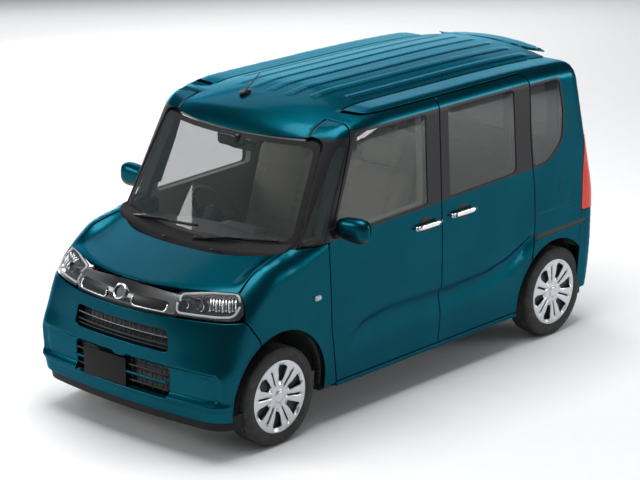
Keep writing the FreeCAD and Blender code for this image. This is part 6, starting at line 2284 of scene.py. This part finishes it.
class GlassSettings(bpy.types.PropertyGroup):
    """How dark the windows are."""

    front: bpy.props.FloatProperty(
        name="Front glass", description="How much the front side windows hide",
        subtype="FACTOR", min=0.0, max=1.0, default=0.42,
    )
    rear: bpy.props.FloatProperty(
        name="Rear glass", description="How much the darker rear windows hide",
        subtype="FACTOR", min=0.0, max=1.0, default=0.86,
    )


class WheelSettings(bpy.types.PropertyGroup):
    """Sizes of the wheel covers and tyres."""

    cover_radius: bpy.props.FloatProperty(
        name="Cover radius", description="Radius of the silver wheel cover",
        unit="LENGTH", subtype="DISTANCE", min=0.180, max=0.206, default=0.203,
    )
    lugs: bpy.props.IntProperty(
        name="Shoulder lugs", description="Number of lugs on each shoulder of a tyre",
        min=12, max=90, default=58,
    )


class StudioSettings(bpy.types.PropertyGroup):
    """Light and lens of the studio."""

    light: bpy.props.FloatProperty(
        name="Light", description="Brightness of all softboxes", min=0.0, max=5.0, default=1.0,
    )
    fill: bpy.props.FloatProperty(
        name="Fill", description="Brightness of the even light all round", min=0.0, max=2.0,
        default=0.20,
    )
    lens: bpy.props.FloatProperty(
        name="Lens", description="Focal length of the camera",
        unit="CAMERA", min=20.0, max=300.0, default=136.0,
    )


class KeiCarSettings(bpy.types.PropertyGroup):
    """All settings of the car and its studio."""

    paint: bpy.props.PointerProperty(type=PaintSettings)
    glass: bpy.props.PointerProperty(type=GlassSettings)
    wheels: bpy.props.PointerProperty(type=WheelSettings)
    studio: bpy.props.PointerProperty(type=StudioSettings)


class KEICAR_OT_doors(bpy.types.Operator):
    """Skins and window surrounds of the front and sliding doors"""

    bl_idname = "kei_car.doors"
    bl_label = "Doors"

    def execute(self, context):
        build_doors()
        return {"FINISHED"}


class KEICAR_OT_flanks(bpy.types.Operator):
    """Side frames with their rear quarters, pillars and sills"""

    bl_idname = "kei_car.flanks"
    bl_label = "Side frames"

    def execute(self, context):
        build_flanks()
        return {"FINISHED"}


class KEICAR_OT_roof(bpy.types.Operator):
    """Roof with its two ditches"""

    bl_idname = "kei_car.roof"
    bl_label = "Roof"

    def execute(self, context):
        build_roof()
        return {"FINISHED"}


class KEICAR_OT_bonnet(bpy.types.Operator):
    """The lifting bonnet"""

    bl_idname = "kei_car.bonnet"
    bl_label = "Bonnet"

    def execute(self, context):
        build_bonnet()
        return {"FINISHED"}


class KEICAR_OT_fenders(bpy.types.Operator):
    """The pair of front wings"""

    bl_idname = "kei_car.fenders"
    bl_label = "Front wings"

    def execute(self, context):
        build_fenders()
        return {"FINISHED"}


class KEICAR_OT_front_end(bpy.types.Operator):
    """Front bumper, grille and headlamps"""

    bl_idname = "kei_car.front_end"
    bl_label = "Front end"

    def execute(self, context):
        build_bumper()
        build_grille()
        build_headlamps()
        return {"FINISHED"}


class KEICAR_OT_rear_end(bpy.types.Operator):
    """Rear bumper, tailgate and tail lamps"""

    bl_idname = "kei_car.rear_end"
    bl_label = "Rear end"

    def execute(self, context):
        build_rear_bumper()
        build_tailgate()
        build_tail_lamps()
        return {"FINISHED"}


class KEICAR_OT_glass(bpy.types.Operator):
    """Windscreen and side windows"""

    bl_idname = "kei_car.glass"
    bl_label = "Windows"

    def execute(self, context):
        build_glass()
        return {"FINISHED"}


class KEICAR_OT_handles(bpy.types.Operator):
    """Door handles"""

    bl_idname = "kei_car.handles"
    bl_label = "Door handles"

    def execute(self, context):
        build_handles()
        return {"FINISHED"}


class KEICAR_OT_mirrors(bpy.types.Operator):
    """Door mirrors"""

    bl_idname = "kei_car.mirrors"
    bl_label = "Door mirrors"

    def execute(self, context):
        build_mirrors()
        return {"FINISHED"}


class KEICAR_OT_side_trim(bpy.types.Operator):
    """Handle cups, repeaters, rails and the fuel lid"""

    bl_idname = "kei_car.side_trim"
    bl_label = "Side trim"

    def execute(self, context):
        build_side_trim()
        return {"FINISHED"}


class KEICAR_OT_cowl(bpy.types.Operator):
    """Cowl, wipers and washer nozzles"""

    bl_idname = "kei_car.cowl"
    bl_label = "Cowl and wipers"

    def execute(self, context):
        build_cowl()
        return {"FINISHED"}


class KEICAR_OT_aerial(bpy.types.Operator):
    """The roof aerial"""

    bl_idname = "kei_car.aerial"
    bl_label = "Aerial"

    def execute(self, context):
        build_aerial()
        return {"FINISHED"}


class KEICAR_OT_wheels(bpy.types.Operator):
    """Four wheels with their covers and tyres"""

    bl_idname = "kei_car.wheels"
    bl_label = "Wheels"

    def execute(self, context):
        build_wheels()
        return {"FINISHED"}


class KEICAR_OT_seats(bpy.types.Operator):
    """Front and rear seats"""

    bl_idname = "kei_car.seats"
    bl_label = "Seats"

    def execute(self, context):
        build_seats()
        return {"FINISHED"}


class KEICAR_OT_dashboard(bpy.types.Operator):
    """Dashboard and inner mirror"""

    bl_idname = "kei_car.dashboard"
    bl_label = "Dashboard"

    def execute(self, context):
        build_dashboard()
        return {"FINISHED"}


class KEICAR_OT_steering_wheel(bpy.types.Operator):
    """The steering wheel"""

    bl_idname = "kei_car.steering_wheel"
    bl_label = "Steering wheel"

    def execute(self, context):
        build_steering_wheel()
        return {"FINISHED"}


class KEICAR_OT_underbody(bpy.types.Operator):
    """Finishes of the floor pan, axles, engine and exhaust"""

    bl_idname = "kei_car.underbody"
    bl_label = "Underbody"

    def execute(self, context):
        finish_frame()
        return {"FINISHED"}


class KEICAR_OT_stage(bpy.types.Operator):
    """Floor, softboxes and camera"""

    bl_idname = "kei_car.stage"
    bl_label = "Studio"

    def execute(self, context):
        build_floor()
        build_camera()
        build_lights()
        return {"FINISHED"}


OPERATORS = (
    KEICAR_OT_doors, KEICAR_OT_flanks, KEICAR_OT_roof, KEICAR_OT_bonnet, KEICAR_OT_fenders,
    KEICAR_OT_front_end, KEICAR_OT_rear_end, KEICAR_OT_glass, KEICAR_OT_handles, KEICAR_OT_mirrors,
    KEICAR_OT_side_trim, KEICAR_OT_cowl, KEICAR_OT_aerial, KEICAR_OT_wheels, KEICAR_OT_seats,
    KEICAR_OT_dashboard, KEICAR_OT_steering_wheel, KEICAR_OT_underbody, KEICAR_OT_stage,
)


class KEICAR_PT_panel(bpy.types.Panel):
    """Lists the settings and the steps that build the car."""

    bl_idname = "KEICAR_PT_panel"
    bl_label = "Kei car"
    bl_space_type = "VIEW_3D"
    bl_region_type = "UI"
    bl_category = "Kei car"

    def draw(self, context):
        car = context.scene.kei_car
        for group in (car.paint, car.glass, car.wheels, car.studio):
            box = self.layout.box()
            for name in group.__annotations__:
                box.prop(group, name)
        for operator in OPERATORS:
            self.layout.operator(operator.bl_idname)


GROUPS = (PaintSettings, GlassSettings, WheelSettings, StudioSettings, KeiCarSettings)
CLASSES = GROUPS + OPERATORS + (KEICAR_PT_panel,)


def register():
    for cls in CLASSES:
        bpy.utils.register_class(cls)
    bpy.types.Scene.kei_car = bpy.props.PointerProperty(type=KeiCarSettings)


def unregister():
    del bpy.types.Scene.kei_car
    for cls in reversed(CLASSES):
        bpy.utils.unregister_class(cls)


def main():
    register()
    for operator in OPERATORS:
        step = operator.bl_idname.split(".")[1]
        getattr(bpy.ops.kei_car, step)()


if __name__ == "__main__":
    main()
